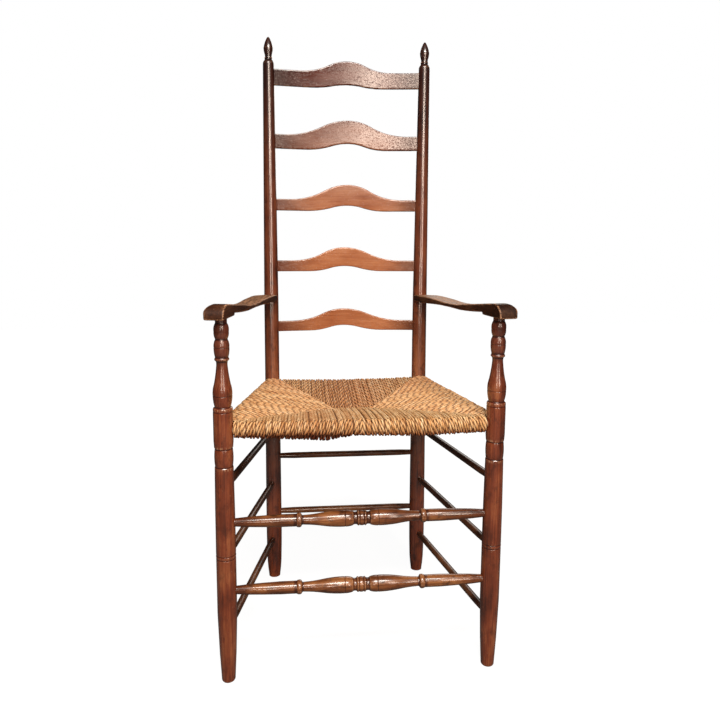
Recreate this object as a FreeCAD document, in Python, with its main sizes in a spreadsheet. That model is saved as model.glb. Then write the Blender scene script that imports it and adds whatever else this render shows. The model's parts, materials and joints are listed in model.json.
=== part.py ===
import FreeCAD, Part
import math
import os
import Sketcher

# A turned ladderback armchair with a rush seat, in millimetres.
# X runs from the left post to the right post, Y from front to back, Z upwards from the floor.

V = FreeCAD.Vector
UP = V(0, 0, 1)
LEFT, RIGHT = -1, 1
SIDES = {LEFT: "left", RIGHT: "right"}

# Sizes of the frame, the joints and the seat
SIZES = {
    "front_spread": 484.0,          # front posts, axis to axis
    "rear_spread_foot": 341.0,      # rear posts, axis to axis on the floor
    "rear_spread_top": 346.5,       # rear posts, axis to axis at the top
    "post_depth": 347.0,            # front axes to rear axes on the floor
    "back_height": 1188.0,          # floor to the shoulder under the finial
    "back_lean": 47.5,              # how far the rear posts lean back over that height
    "rail_height": 471.0,           # axis of the front seat rail
    "side_rail_height": 464.0,      # axes of the side rails where they enter the rear posts
    "back_rail_height": 457.5,      # axis of the back seat rail, which is set lower
    "arm_rise": 195.5,              # seat rails to the underside of the arms
    "leg_radius": 17.45,            # thickest part of a front post
    "post_radius": 17.65,           # thickest part of a rear post
    "post_radius_seat": 16.45,      # rear post at the seat
    "post_radius_arm": 16.05,       # rear post at the arms
    "post_radius_top": 12.35,       # rear post under the finial
    "fit": 0.1,                     # gap between a round tenon and its bore, on the radius
    "bottom_gap": 1.0,              # air at the bottom of a bore
    "groove_width": 1.9,            # a scribed line
    "groove_depth": 0.7,
    # Front stretchers
    "front_upper_height": 301.0,
    "front_lower_height": 173.0,
    "front_tenon_radius": 7.2,
    "front_tenon_depth": 26.0,
    # Plain stretchers at the sides and the back
    "side_upper_front": 366.0,      # heights of the side stretchers on the front posts
    "side_middle_front": 237.0,
    "side_lower_front": 99.0,
    "side_upper_rear": 353.0,       # heights of the same stretchers on the rear posts
    "side_middle_rear": 229.0,
    "side_lower_rear": 94.5,
    "rear_upper_height": 290.0,
    "rear_lower_height": 157.0,
    "rung_radius": 6.9,             # plain stretcher at its middle
    "rung_end_radius": 6.0,         # the same at its ends, and its tenons
    "rung_tenon_depth": 25.0,
    "rung_taper": 30.0,             # length over which an end is thinned
    # Seat rails and rush
    "rail_radius": 8.5,
    "rail_tenon_radius": 7.0,
    "rail_tenon_reach": 9.0,        # a rail's tenon passes the post's axis by this before its mitre
    "rail_neck": 1.1,               # thin part of a rail in front of the post
    "rail_taper": 12.0,
    "cord_diameter": 5.5,
    "rush_clearance": 0.3,
    "seam_half": 40.0,              # half of the seam where the front and back panels meet
    "seam_half_width": 1.0,
    "seam_back": 184.0,             # the seam, behind the front rail
    "seam_top_drop": 10.5,          # top of the seam, below the rails
    "seam_bottom_drop": 26.0,       # underside of the seam, below the rails
    "web_inset": 2.0,               # edge of the woven web inside the rail's axis
    "web_top_drop": 0.2,            # that edge below the crest of the roll
    # Slats
    "slat_low_height": 583.0,       # lower edge of the lowest slat at the posts
    "slat_top_drop": 54.0,          # the same edge of the top slat, below the posts' shoulders
    "slat_thickness": 7.0,
    "slat_angle": 8.5,              # degrees that a slat's end turns forward in plan
    "slat_straight": 28.0,          # straight end of a slat, up to the post's axis
    "slat_past_axis": 4.0,          # slat tenon beyond the post's axis
    "slat_fit": 0.15,
    "crest_share": 0.4,             # share of the ogee that the convex crest takes
    # Arms
    "arm_tenon_radius": 6.0,
    "arm_tenon_depth": 24.0,
    "arm_tenon_drop": 5.0,          # axis of the rear tenon below the underside of the hand
    "arm_scribe": 8.0,              # the arm's end stops this far before the rear post's axis
    "post_tenon_radius": 8.0,       # tenon on the front post's top
    "post_tenon_length": 15.0,
    "arm_outside_front": 20.5,      # outer edge from the arm's centre line, at the front
    "arm_outside_rear": 29.5,       # and near the back
    "arm_inside": 15.3,             # inner edge from the centre line
    "arm_rear_width": 13.0,         # outer corner that meets the rear post
    "arm_cheek": 40.0,              # length of the slanted corner before the rear post
    "arm_rear_drop": 3.0,           # fall of the top towards the rear post
    "arm_overhang": 36.0,           # tip in front of the front post's axis
    "arm_corner": 7.0,              # plan radius of the outer front corner
    "hand_thickness": 25.0,
    "hand_lip": 3.0,                # upright edge under the roll
    "hand_roll": 23.0,              # how far back the roll of the tip runs
    "hand_roll_bulge": 0.2,         # how far the roll stands off its chord, as a share of it
    "hand_crown": 0.5,              # rise of the hand's top between its ends
    "hand_edge": 15.0,              # radius of the hand's outer top edge
    "hand_edge_past": 0.3,          # that round runs out past the outer edge by this
    "hand_length": 31.0,            # underside of the hand, behind the front post's axis
    "hand_notch": 4.5,              # step behind the hand
    "notch_run": 3.0,
}

# Turned outlines. Each station has a distance, a radius, and how far the line from it to the next
# station bulges out; a hollow is negative. Distances are from the floor, from the rails' axes,
# from the shoulder of the arm support, down from the arm, or out from a stretcher's middle.
# Where a group is cut from a post's full thickness, its second number is the depth of the cut.
STATIONS = {
    "leg": [
        ("foot", 0.0, 6.45, 0.5),
        ("foot_edge", 3.5, 5.15, 0.0),
        ("shin", 52.0, 2.55, 0.0),
        ("ankle", 112.0, 0.6, 0.0),
        ("swell", 132.0, 0.0, 0.0),
        ("calf", 252.0, 0.0, 0.0),
        ("thigh", 322.0, 0.25, 0.0),
        ("knee", 385.0, 0.9, 0.0),
    ],
    "leg_bead": [
        ("height", 240.4, 0.0, 0.0),
        ("half", 2.6, 0.2, 0.4),
    ],
    "barrel": [
        ("lower_lip", -66.6, 1.2, 0.0),
        ("lower_groove", -65.2, 2.5, 0.0),
        ("lower_edge", -63.6, 1.8, 0.9),
        ("upper_edge", -34.2, 1.8, 0.0),
        ("upper_groove", -32.6, 2.5, 0.0),
        ("upper_lip", -31.0, 1.1, 0.0),
        ("seat_low", -20.0, 0.3, 0.0),
        ("seat_high", 31.5, 0.3, 0.0),
        ("scribe", 33.2, 0.75, 0.0),
        ("scribe_top", 34.9, 0.4, 0.0),
        ("shoulder_edge", 38.6, 0.55, 0.35),
        ("shoulder", 40.0, 1.85, 0.0),
    ],
    "vase": [
        ("foot", 0.8, 14.3, -0.4),
        ("foot_top", 3.2, 14.4, 0.5),
        ("belly", 20.4, 16.8, 0.0),
        ("scribe", 21.4, 16.3, 0.0),
        ("scribe_top", 22.4, 16.8, 0.9),
        ("flank", 42.0, 14.1, -0.5),
    ],
    "support_top": [
        ("neck", 81.5, 9.6, -0.4),
        ("collar_foot", 73.8, 10.4, 0.0),
        ("collar_low", 72.6, 12.2, 0.5),
        ("collar_high", 69.2, 12.2, 0.0),
        ("waist", 67.6, 11.3, 0.6),
        ("lower_bulb", 51.1, 13.4, 0.0),
        ("lower_scribe", 50.3, 13.0, 0.0),
        ("lower_scribe_top", 49.5, 13.4, 0.9),
        ("pinch", 36.0, 10.4, 1.0),
        ("upper_bulb", 23.0, 12.8, 1.3),
        ("cap", 8.5, 10.1, 0.0),
    ],
    "post": [
        ("foot", -2.0, 5.4, 0.3),
        ("foot_edge", 4.0, 4.6, 0.0),
        ("heel", 17.0, 2.9, 0.0),
        ("ankle", 34.0, 1.55, 0.0),
        ("swell_low", 78.0, 0.3, 0.0),
        ("swell", 110.0, 0.0, 0.0),
        ("calf", 240.0, 0.1, 0.0),
    ],
    "finial": [
        ("edge_low", -7.0, 12.3, 0.4),
        ("edge_high", -1.0, 9.6, -0.2),
        ("neck", 2.0, 7.9, 0.0),
        ("ring_low", 3.0, 8.3, 0.3),
        ("ring_high", 6.0, 8.3, 0.0),
        ("reel", 7.0, 7.4, 0.0),
        ("reel_top", 9.0, 7.6, -0.2),
        ("bud_foot", 14.0, 8.6, 0.4),
        ("bud", 26.0, 10.5, 0.9),
        ("bud_tip", 46.0, 4.0, 0.4),
        ("bud_end", 50.0, 0.8, 0.0),
    ],
    "spindle": [
        ("bead", 0.0, 13.3, 0.0),
        ("bead_edge", 3.2, 12.9, 0.0),
        ("bead_foot", 4.2, 11.9, 0.0),
        ("ring_in", 5.2, 13.2, 0.2),
        ("ring_out", 7.4, 13.2, 0.0),
        ("cove_in", 8.6, 11.3, -0.4),
        ("cove_out", 14.6, 11.2, 0.0),
        ("shoulder", 16.2, 12.6, 0.5),
        ("scribe_in", 29.2, 14.5, 0.0),
        ("scribe", 30.1, 13.9, 0.0),
        ("scribe_out", 31.0, 14.5, 0.9),
        ("flank", 72.0, 11.4, -0.5),
        ("pinch_in", 103.2, 8.4, -0.3),
        ("pinch_out", 107.0, 8.6, 0.0),
        ("collar_in", 109.2, 12.0, 0.5),
        ("collar_out", 115.6, 12.0, 0.0),
        ("collar_foot", 117.2, 10.9, 0.0),
        ("tail_swell", 146.0, 10.95, 0.0),
        ("tail", 176.0, 10.0, 0.0),
        ("tail_end", 202.0, 8.9, 0.0),
    ],
}

# Back slats from the top down: height at the posts, rise of the crest, where its ogee starts,
# rise of the arch under the slat and where that arch starts
SLATS = [
    ("top", 35.5, 24.5, 102.0, 8.0, 80.0),
    ("upper", 32.0, 35.0, 138.0, 15.0, 90.0),
    ("middle", 26.0, 34.5, 128.0, 13.0, 88.0),
    ("lower", 25.0, 30.5, 124.0, 12.0, 84.0),
    ("bottom", 23.5, 27.5, 128.0, 12.0, 84.0),
]

# The arm's side profile behind the hand: distance from the front post's axis and height over the
# underside of the hand, with the bulge of the line to the next station
ARM_TOP = [
    ("slope_start", 26.0, 20.4, 0.4),
    ("slope_end", 138.0, 6.4, -1.2),
    ("hollow", 212.0, 4.0, 0.5),
    ("crown", 296.0, 4.6, 0.6),
]
ARM_UNDER = [
    ("rear", 345.0, -11.6, 0.3),
    ("swell", 288.0, -9.2, -0.4),
    ("waist", 214.0, -4.6, -0.3),
    ("belly", 128.0, -3.4, 0.9),
]


class Size(float):
    """A number that keeps the formula tying it to the sheet."""

    def __new__(cls, number, formula):
        self = super().__new__(cls, number)
        self.formula = formula
        return self

    def join(self, other, sign, number, swapped=False):
        first, second = self.formula, formula_of(other)
        if swapped:
            first, second = second, first
        return Size(number, f"({first} {sign} {second})")

    def __add__(self, other):
        return self.join(other, "+", float(self) + float(other))

    def __radd__(self, other):
        return self.join(other, "+", float(other) + float(self), True)

    def __sub__(self, other):
        return self.join(other, "-", float(self) - float(other))

    def __rsub__(self, other):
        return self.join(other, "-", float(other) - float(self), True)

    def __mul__(self, other):
        return self.join(other, "*", float(self) * float(other))

    def __rmul__(self, other):
        return self.join(other, "*", float(other) * float(self), True)

    def __truediv__(self, other):
        return self.join(other, "/", float(self) / float(other))

    def __neg__(self):
        return Size(-float(self), f"(0 - {self.formula})")


def formula_of(number):
    return number.formula if isinstance(number, Size) else f"({float(number):.9g})"


def root(number):
    return Size(math.sqrt(number), f"sqrt({formula_of(number)})")


def sine(degrees):
    return Size(math.sin(math.radians(degrees)), f"sin({formula_of(degrees)} * 1 deg)")


def cosine(degrees):
    return Size(math.cos(math.radians(degrees)), f"cos({formula_of(degrees)} * 1 deg)")


def quarter_bulge(radius):
    """How far a quarter round stands off its chord."""
    return radius * (1 - cosine(45))


def span(start, end):
    """The distance between two points given in sizes."""
    total = 0.0
    for one, other in zip(start, end):
        total = (other - one) * (other - one) + total
    return root(total)


# The sheet holds every size under its own name
doc = FreeCAD.newDocument("ladderback_armchair")
sheet = doc.addObject("Spreadsheet::Sheet", "Sizes")
row_count = 0


def enter(name, number):
    """Write one size into the sheet and return it."""
    global row_count
    row_count += 1
    sheet.set(f"A{row_count}", name)
    sheet.set(f"B{row_count}", str(number))
    sheet.setAlias(f"B{row_count}", name)
    return Size(number, f"Sizes.{name}")


class Sizes:
    """The named sizes of the chair."""


size = Sizes()
for name, number in SIZES.items():
    setattr(size, name, enter(name, number))


FULL_RADIUS = {
    "leg": size.leg_radius,
    "leg_bead": size.leg_radius,
    "barrel": size.leg_radius,
    "post": size.post_radius,
}


def enter_stations(group, rows, word="radius"):
    """Write an outline's stations and return them by name as distance, radius and bulge."""
    stations = {}
    for name, distance, number, bulge in rows:
        if group in FULL_RADIUS:
            radius = FULL_RADIUS[group] - enter(f"{group}_{name}_cut", number)
        else:
            radius = enter(f"{group}_{name}_{word}", number)
        stations[name] = (
            enter(f"{group}_{name}_at", distance),
            radius,
            enter(f"{group}_{name}_bulge", bulge) if bulge else 0.0,
        )
    return stations


station = {group: enter_stations(group, rows) for group, rows in STATIONS.items()}
arm_top = enter_stations("arm_top", ARM_TOP, "height")
arm_under = enter_stations("arm_under", ARM_UNDER, "height")
slat_sizes = []
for name, *numbers in SLATS:
    words = [f"slat_{name}_{word}" for word in ("end_height", "crest", "ogee", "arch", "arch_start")]
    slat_sizes.append([name] + [enter(word, number) for word, number in zip(words, numbers)])
doc.recompute()

# What follows from the sizes
arm_height = size.rail_height + size.arm_rise
roll_radius = size.rail_radius + size.cord_diameter
slat_top_height = size.back_height - size.slat_top_drop
pieces = {}


def bind(item, name, number):
    """Give a property its number and tie it to the sheet."""
    setattr(item, name, float(number))
    if isinstance(number, Size):
        item.setExpression(name, number.formula)


def new_piece(name, placement=None):
    body = doc.addObject("PartDesign::Body", name)
    body.Label = name
    if placement is not None:
        body.Placement = placement
    pieces[name] = body
    return body


def new_sketch(body, name, plane, height=None):
    """A sketch on one of the body's own planes, lifted off it by a height."""
    sketch = body.newObject("Sketcher::SketchObject", f"{body.Label}_{name}")
    support = [item for item in body.Origin.OriginFeatures if item.Role == plane][0]
    sketch.AttachmentSupport = (support, [""])
    sketch.MapMode = "FlatFace"
    if height is not None:
        sketch.AttachmentOffset = FreeCAD.Placement(V(0, 0, float(height)), FreeCAD.Rotation())
        sketch.setExpression("AttachmentOffset.Base.z", height.formula)
    return sketch


def draw(sketch, corners):
    """Close an outline through corners of (x, y, bulge) and tie each corner to its sizes.

    A bulge is how far the line to the next corner stands off its chord, to the right as seen
    along the line.
    """
    geometry = []
    ends = []
    for (x, y, bulge), (next_x, next_y, _) in zip(corners, corners[1:] + corners[:1]):
        start, end = V(float(x), float(y), 0), V(float(next_x), float(next_y), 0)
        ends.append((1, 2))
        if not bulge:
            geometry.append(Part.LineSegment(start, end))
            continue
        along = (end - start).normalize()
        middle = (start + end) / 2 + V(along.y, -along.x, 0) * float(bulge)
        if bulge < 0:
            # Arcs run anticlockwise, so a hollow is drawn from its end to its start
            start, end = end, start
            ends[-1] = (2, 1)
        geometry.append(Part.Arc(start, middle, end))
    first = sketch.GeometryCount
    sketch.addGeometry(geometry, False)
    bound = []
    rules = []

    def rule(number, *terms):
        if isinstance(number, Size):
            bound.append((sketch.ConstraintCount + len(rules), number.formula))
        rules.append(Sketcher.Constraint(*terms))

    for index, (x, y, bulge) in enumerate(corners):
        following = (index + 1) % len(corners)
        here, after = first + index, first + following
        start, end = ends[index]
        rule(None, "Coincident", here, end, after, ends[following][0])
        if float(x) == 0:
            rule(None, "PointOnObject", here, start, -2)
        else:
            rule(x, "DistanceX", -1, 1, here, start, float(x))
        if float(y) == 0:
            rule(None, "PointOnObject", here, start, -1)
        else:
            rule(y, "DistanceY", -1, 1, here, start, float(y))
        if bulge:
            step_x = corners[following][0] - x
            step_y = corners[following][1] - y
            chord = step_x * step_x + step_y * step_y
            depth = bulge if float(bulge) > 0 else -bulge
            radius = (chord / 4 + depth * depth) / (2 * depth)
            rule(radius, "Radius", here, float(radius))
    sketch.addConstraint(rules)
    for number, formula in bound:
        sketch.renameConstraint(number, f"size_{number}")
        sketch.setExpression(f"Constraints.size_{number}", formula)


def turn(body, outline):
    """Turn a solid about the body's Z axis from (distance, radius, bulge) stations."""
    sketch = new_sketch(body, "outline", "XZ_Plane")
    corners = [(0.0, outline[0][0], 0.0)]
    corners += [(radius, along, bulge) for along, radius, bulge in outline]
    corners += [(0.0, outline[-1][0], 0.0)]
    draw(sketch, corners)
    turned = body.newObject("PartDesign::Revolution", f"{body.Label}_turned")
    turned.Profile = sketch
    turned.ReferenceAxis = (sketch, ["V_Axis"])
    turned.Angle = 360
    return turned


def extrude(body, sketch, kind, length=None):
    """Pad or pocket a sketch evenly to both sides of its plane; no length cuts through all."""
    feature = body.newObject(f"PartDesign::{kind}", f"{sketch.Label}_{kind.lower()}")
    feature.Profile = sketch
    feature.SideType = "Symmetric"
    if length is None:
        feature.Type = "ThroughAll"
    else:
        bind(feature, "Length", length)
    return feature


def cylinder(body, name, kind, placement, radius, length):
    """A bore or a round tenon, given in the chair's frame, in one body."""
    feature = body.newObject(f"PartDesign::{kind}Cylinder", f"{body.Label}_{name}")
    bind(feature, "Radius", radius)
    bind(feature, "Height", length)
    feature.Placement = body.Placement.inverse().multiply(placement)
    return feature


def box(body, name, placement, length, width, height):
    """Cut a box, given in the chair's frame, out of one body."""
    feature = body.newObject("PartDesign::SubtractiveBox", f"{body.Label}_{name}")
    bind(feature, "Length", length)
    bind(feature, "Width", width)
    bind(feature, "Height", height)
    feature.Placement = body.Placement.inverse().multiply(placement)
    return feature


def aimed(start, end, shift=0.0):
    """The placement at a start point with Z towards an end point, shifted along Z."""
    start, end = V(*map(float, start)), V(*map(float, end))
    turned = FreeCAD.Rotation(UP, end - start)
    return FreeCAD.Placement(start + (end - start).normalize() * float(shift), turned)


# Points on the posts' axes
def on_front(side, height):
    return (side * size.front_spread / 2, 0.0, height)


def on_rear(side, height):
    widening = (size.rear_spread_top - size.rear_spread_foot) / 2
    rise = height / size.back_height
    return (
        side * (size.rear_spread_foot / 2 + widening * rise),
        size.post_depth + size.back_lean * rise,
        height,
    )


def scribed(at, radius):
    """A thin scribed line round a turning, as three stations."""
    half = size.groove_width / 2
    return [(at - half, radius, 0.0), (at, radius - size.groove_depth, 0.0), (at + half, radius, 0.0)]


def shifted(group, base, direction=1):
    """A group's stations measured from a base, upwards or downwards."""
    rows = []
    for along, radius, bulge in station[group].values():
        rows.append((base + along if direction > 0 else base - along, radius, bulge))
    return rows


# Round members between the posts
def front_outline():
    """The upper and lower front stretcher: rings in the middle, collars at each side."""
    half = size.front_spread / 2
    past = size.front_tenon_depth - size.leg_radius
    rows = list(station["spindle"].values())
    right = [(half + along, radius, bulge) for along, radius, bulge in rows]
    # The left half runs the same stations backwards, so each bulge belongs to the one before
    left = []
    for index in range(len(rows) - 1, 0, -1):
        along, radius, _ = rows[index]
        left.append((half - along, radius, rows[index - 1][2]))
    left_tail = (size.leg_radius + size.fit, size.front_tenon_radius, rows[-1][2])
    right_tail = (size.front_spread - size.leg_radius - size.fit, size.front_tenon_radius, 0.0)
    start = (-past, size.front_tenon_radius, 0.0)
    end = (size.front_spread + past, size.front_tenon_radius, 0.0)
    return [start, left_tail] + left + right + [right_tail, end]


def rung_outline(length, near_radius, far_radius):
    """A plain stretcher between two posts of the given radii."""
    thin, thick = size.rung_end_radius, size.rung_radius
    past = size.rung_tenon_depth
    return [
        (near_radius - past, thin, 0.0),
        (near_radius + size.fit, thin, 0.0),
        (near_radius + size.rung_taper, thick, 0.0),
        (length - far_radius - size.rung_taper, thick, 0.0),
        (length - far_radius - size.fit, thin, 0.0),
        (length - far_radius + past, thin, 0.0),
    ]


def rail_outline(length, near_radius, far_radius):
    """A seat rail: a stout stick with a thinner round tenon at each end."""
    thin, thick = size.rail_tenon_radius, size.rail_radius
    return [
        (-size.rail_tenon_reach, thin, 0.0),
        (near_radius + size.rail_neck, thin, 0.0),
        (near_radius + size.rail_taper, thick, 0.0),
        (length - far_radius - size.rail_taper, thick, 0.0),
        (length - far_radius - size.rail_neck, thin, 0.0),
        (length + size.rail_tenon_reach, thin, 0.0),
    ]


joints = []


def member(name, start, end, outline, tenon_radius, past, ends):
    """Turn one round member and note the bore that each of its ends needs."""
    turn(new_piece(name, aimed(start, end)), outline)
    for (here, other), post in zip(((start, end), (end, start)), ends):
        joints.append((post, name, here, other, tenon_radius, past))


def stretchers_and_rails():
    front_past = size.front_tenon_depth - size.leg_radius
    rung_past = size.rung_tenon_depth - size.post_radius
    for place, height in (("upper", size.front_upper_height), ("lower", size.front_lower_height)):
        member(
            f"front_stretcher_{place}", on_front(LEFT, height), on_front(RIGHT, height),
            front_outline(), size.front_tenon_radius, front_past,
            ("front_post_left", "front_post_right"),
        )
    for place, height in (("upper", size.rear_upper_height), ("lower", size.rear_lower_height)):
        start, end = on_rear(LEFT, height), on_rear(RIGHT, height)
        member(
            f"rear_stretcher_{place}", start, end,
            rung_outline(span(start, end), size.post_radius, size.post_radius),
            size.rung_end_radius, rung_past, ("rear_post_left", "rear_post_right"),
        )
    heights = (
        ("upper", size.side_upper_front, size.side_upper_rear),
        ("middle", size.side_middle_front, size.side_middle_rear),
        ("lower", size.side_lower_front, size.side_lower_rear),
    )
    for side, word in SIDES.items():
        for place, front_height, rear_height in heights:
            start, end = on_front(side, front_height), on_rear(side, rear_height)
            member(
                f"side_stretcher_{word}_{place}", start, end,
                rung_outline(span(start, end), size.leg_radius, size.post_radius),
                size.rung_end_radius, rung_past, (f"front_post_{word}", f"rear_post_{word}"),
            )
    for name, start, end, ends in rails():
        member(
            name, start, end,
            rail_outline(span(start, end), size.leg_radius, size.leg_radius),
            size.rail_tenon_radius, size.rail_tenon_reach, ends,
        )


def rails():
    """The four seat rails as name, two points on the posts' axes, and the posts."""
    front = [on_front(side, size.rail_height) for side in SIDES]
    rear = [on_rear(side, size.back_rail_height) for side in SIDES]
    side_rear = [on_rear(side, size.side_rail_height) for side in SIDES]
    return [
        ("seat_rail_front", front[0], front[1], ("front_post_left", "front_post_right")),
        ("seat_rail_back", rear[0], rear[1], ("rear_post_left", "rear_post_right")),
        ("seat_rail_left", front[0], side_rear[0], ("front_post_left", "rear_post_left")),
        ("seat_rail_right", front[1], side_rear[1], ("front_post_right", "rear_post_right")),
    ]


def mitre_rails():
    """Cut the rails' tenons to a mitre where two of them meet inside a post."""
    reach = 3 * size.leg_radius
    for name, start, end, posts in rails():
        for other_name, other_start, other_end, other_posts in rails():
            if other_name == name:
                continue
            for post, here, there in zip(posts, (start, end), (end, start)):
                other_ends = zip(other_posts, (other_start, other_end), (other_end, other_start))
                for other_post, other_here, other_there in other_ends:
                    if other_post != post:
                        continue
                    own_corner, other_corner = V(*map(float, here)), V(*map(float, other_here))
                    corner = (own_corner + other_corner) / 2
                    own = (V(*map(float, there)) - own_corner).normalize()
                    others = (V(*map(float, other_there)) - other_corner).normalize()
                    bisector = (own + others).normalize()
                    away = (others - own).normalize()
                    frame = FreeCAD.Rotation(bisector, away, bisector.cross(away), "XYZ")
                    low = V(-float(reach), -float(size.fit), -float(reach))
                    placement = FreeCAD.Placement(corner + frame.multVec(low), frame)
                    box(pieces[name], f"mitre_{other_name}", placement, 2 * reach, reach, 2 * reach)


def bore_posts():
    """Bore each post for the round tenons that enter it."""
    for post, name, here, other, radius, past in joints:
        length = past + size.bottom_gap + 2 * size.leg_radius
        placement = aimed(here, other, -(past + size.bottom_gap))
        cylinder(pieces[post], f"bore_{name}", "Subtractive", placement, radius + size.fit, length)


# Front posts: leg, seat block and turned arm support in one stick
def front_post(side):
    foot = V(*map(float, on_front(side, 0.0)))
    body = new_piece(f"front_post_{SIDES[side]}", FreeCAD.Placement(foot, FreeCAD.Rotation()))
    leg = list(station["leg"].values())
    below_bead = list(station["leg"]).index("calf")
    bead_at, bead_radius, _ = station["leg_bead"]["height"]
    half, edge_radius, bead_bulge = station["leg_bead"]["half"]
    lower = scribed(bead_at - half - size.groove_width / 2, bead_radius)
    upper = scribed(bead_at + half + size.groove_width / 2, bead_radius)
    lower[-1] = (bead_at - half, edge_radius, bead_bulge)
    upper[0] = (bead_at + half, edge_radius, 0.0)
    shoulder = size.rail_height + station["barrel"]["shoulder"][0]
    outline = leg[:below_bead] + lower + upper + leg[below_bead:]
    outline += shifted("barrel", size.rail_height)
    outline += shifted("vase", shoulder)
    outline += shifted("support_top", arm_height, -1)
    cap_radius = station["support_top"]["cap"][1]
    outline += [
        (arm_height - size.fit, cap_radius, 0.0),
        (arm_height - size.fit, size.post_tenon_radius, 0.0),
        (arm_height + size.post_tenon_length, size.post_tenon_radius, 0.0),
    ]
    turn(body, outline)


# Rear posts: one long turning with its finial, raked back
def rear_post(side):
    foot, top = on_rear(side, 0.0), on_rear(side, size.back_height)
    body = new_piece(f"rear_post_{SIDES[side]}", aimed(foot, top))
    outline = list(station["post"].values())
    outline += [
        (size.rail_height, size.post_radius_seat, 0.0),
        (arm_height, size.post_radius_arm, 0.0),
    ]
    outline += shifted("finial", size.back_height)
    turn(body, outline)
    # The foot is sawn level with the floor
    reach = 3 * size.post_radius
    low = V(float(foot[0]) - float(reach) / 2, float(foot[1]) - float(reach) / 2, -float(reach))
    box(body, "level", FreeCAD.Placement(low, FreeCAD.Rotation()), reach, reach, reach)


# Slats: bent in plan, sawn to their outline, with straight ends let into the posts
def back_frame():
    """The plane of the raked back: X to the right, Z up along the posts."""
    lean = V(0, float(size.back_lean), float(size.back_height))
    return FreeCAD.Placement(V(0, float(size.post_depth), 0), FreeCAD.Rotation(UP, lean))


def ogee(half, rise, start_height):
    """Corners from left to right of an edge that rises to a crest through two hollows."""
    share = size.crest_share
    slope = rise / half
    hollow_radius = (1 - share) * (half * half + rise * rise) / (2 * rise)
    hollow = hollow_radius * (1 - 1 / root(1 + slope * slope))
    turn_x, turn_z = share * half, start_height + (1 - share) * rise
    return [
        (-half, start_height, hollow),
        (-turn_x, turn_z, -(share * rise)),
        (turn_x, turn_z, hollow),
        (half, start_height, 0.0),
    ]


def slat_height(index):
    """The lower edge of a slat at the posts, counted from the top down."""
    step = (slat_top_height - size.slat_low_height) / (len(SLATS) - 1)
    return slat_top_height - index * step


def slat(index):
    name, end_height, rise, ogee_start, arch, arch_start = slat_sizes[index]
    height = slat_height(index)
    lean = root(size.back_height * size.back_height + size.back_lean * size.back_lean)
    along = height * lean / size.back_height
    frame = back_frame()
    frame.Base = frame.Base + frame.Rotation.multVec(UP) * float(along)
    body = new_piece(f"back_slat_{name}", frame)

    # Plan: straight ends, and between them an arc bowed back
    post_x = on_rear(RIGHT, height)[0]
    cos_end, sin_end = cosine(size.slat_angle), sine(size.slat_angle)
    bend_x = post_x - size.slat_straight * cos_end
    bend_y = size.slat_straight * sin_end
    bow_radius = bend_x / sin_end
    half = size.slat_thickness / 2
    tip_x = post_x + size.slat_past_axis * cos_end
    tip_y = -(size.slat_past_axis * sin_end)
    front_bulge = (bow_radius - half) * (1 - cos_end)
    rear_bulge = (bow_radius + half) * (1 - cos_end)
    corners = [
        (-(tip_x - half * sin_end), tip_y - half * cos_end, 0.0),
        (-(bend_x - half * sin_end), bend_y - half * cos_end, -front_bulge),
        (bend_x - half * sin_end, bend_y - half * cos_end, 0.0),
        (tip_x - half * sin_end, tip_y - half * cos_end, 0.0),
        (tip_x + half * sin_end, tip_y + half * cos_end, 0.0),
        (bend_x + half * sin_end, bend_y + half * cos_end, rear_bulge),
        (-(bend_x + half * sin_end), bend_y + half * cos_end, 0.0),
        (-(tip_x + half * sin_end), tip_y + half * cos_end, 0.0),
    ]
    plan = new_sketch(body, "plan", "XY_Plane")
    draw(plan, corners)
    blank = body.newObject("PartDesign::Pad", f"{body.Label}_blank")
    blank.Profile = plan
    blank_height = end_height + rise
    bind(blank, "Length", blank_height)

    # The top edge: everything over the crest line is sawn away
    beyond = 2 * post_x
    over = blank_height * 2
    top = new_sketch(body, "crest", "XZ_Plane")
    draw(top, [(-beyond, end_height, 0.0)] + ogee(ogee_start, rise, end_height) + [
        (beyond, end_height, 0.0), (beyond, over, 0.0), (-beyond, over, 0.0)])
    extrude(body, top, "Pocket")
    # The arch under the slat
    low = new_sketch(body, "arch", "XZ_Plane")
    draw(low, ogee(arch_start, arch, 0.0))
    extrude(body, low, "Pocket")

    # Slots in the posts
    for side, word in SIDES.items():
        axis = V(float(on_rear(side, height)[0]), 0, 0)
        inward = V(-side * float(cos_end), float(sin_end), 0)
        gap = size.slat_fit
        depth = size.slat_past_axis + size.bottom_gap
        corner = axis - inward * float(depth)
        across = UP.cross(inward)
        corner = corner - across * float(half + gap) - UP * float(gap)
        turned = frame.Rotation.multiply(FreeCAD.Rotation(inward, across, UP, "XYZ"))
        placement = FreeCAD.Placement(frame.multVec(corner), turned)
        box(
            pieces[f"rear_post_{word}"], f"slot_{name}", placement,
            depth + 2 * size.post_radius, size.slat_thickness + 2 * gap, end_height + 2 * gap,
        )


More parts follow.
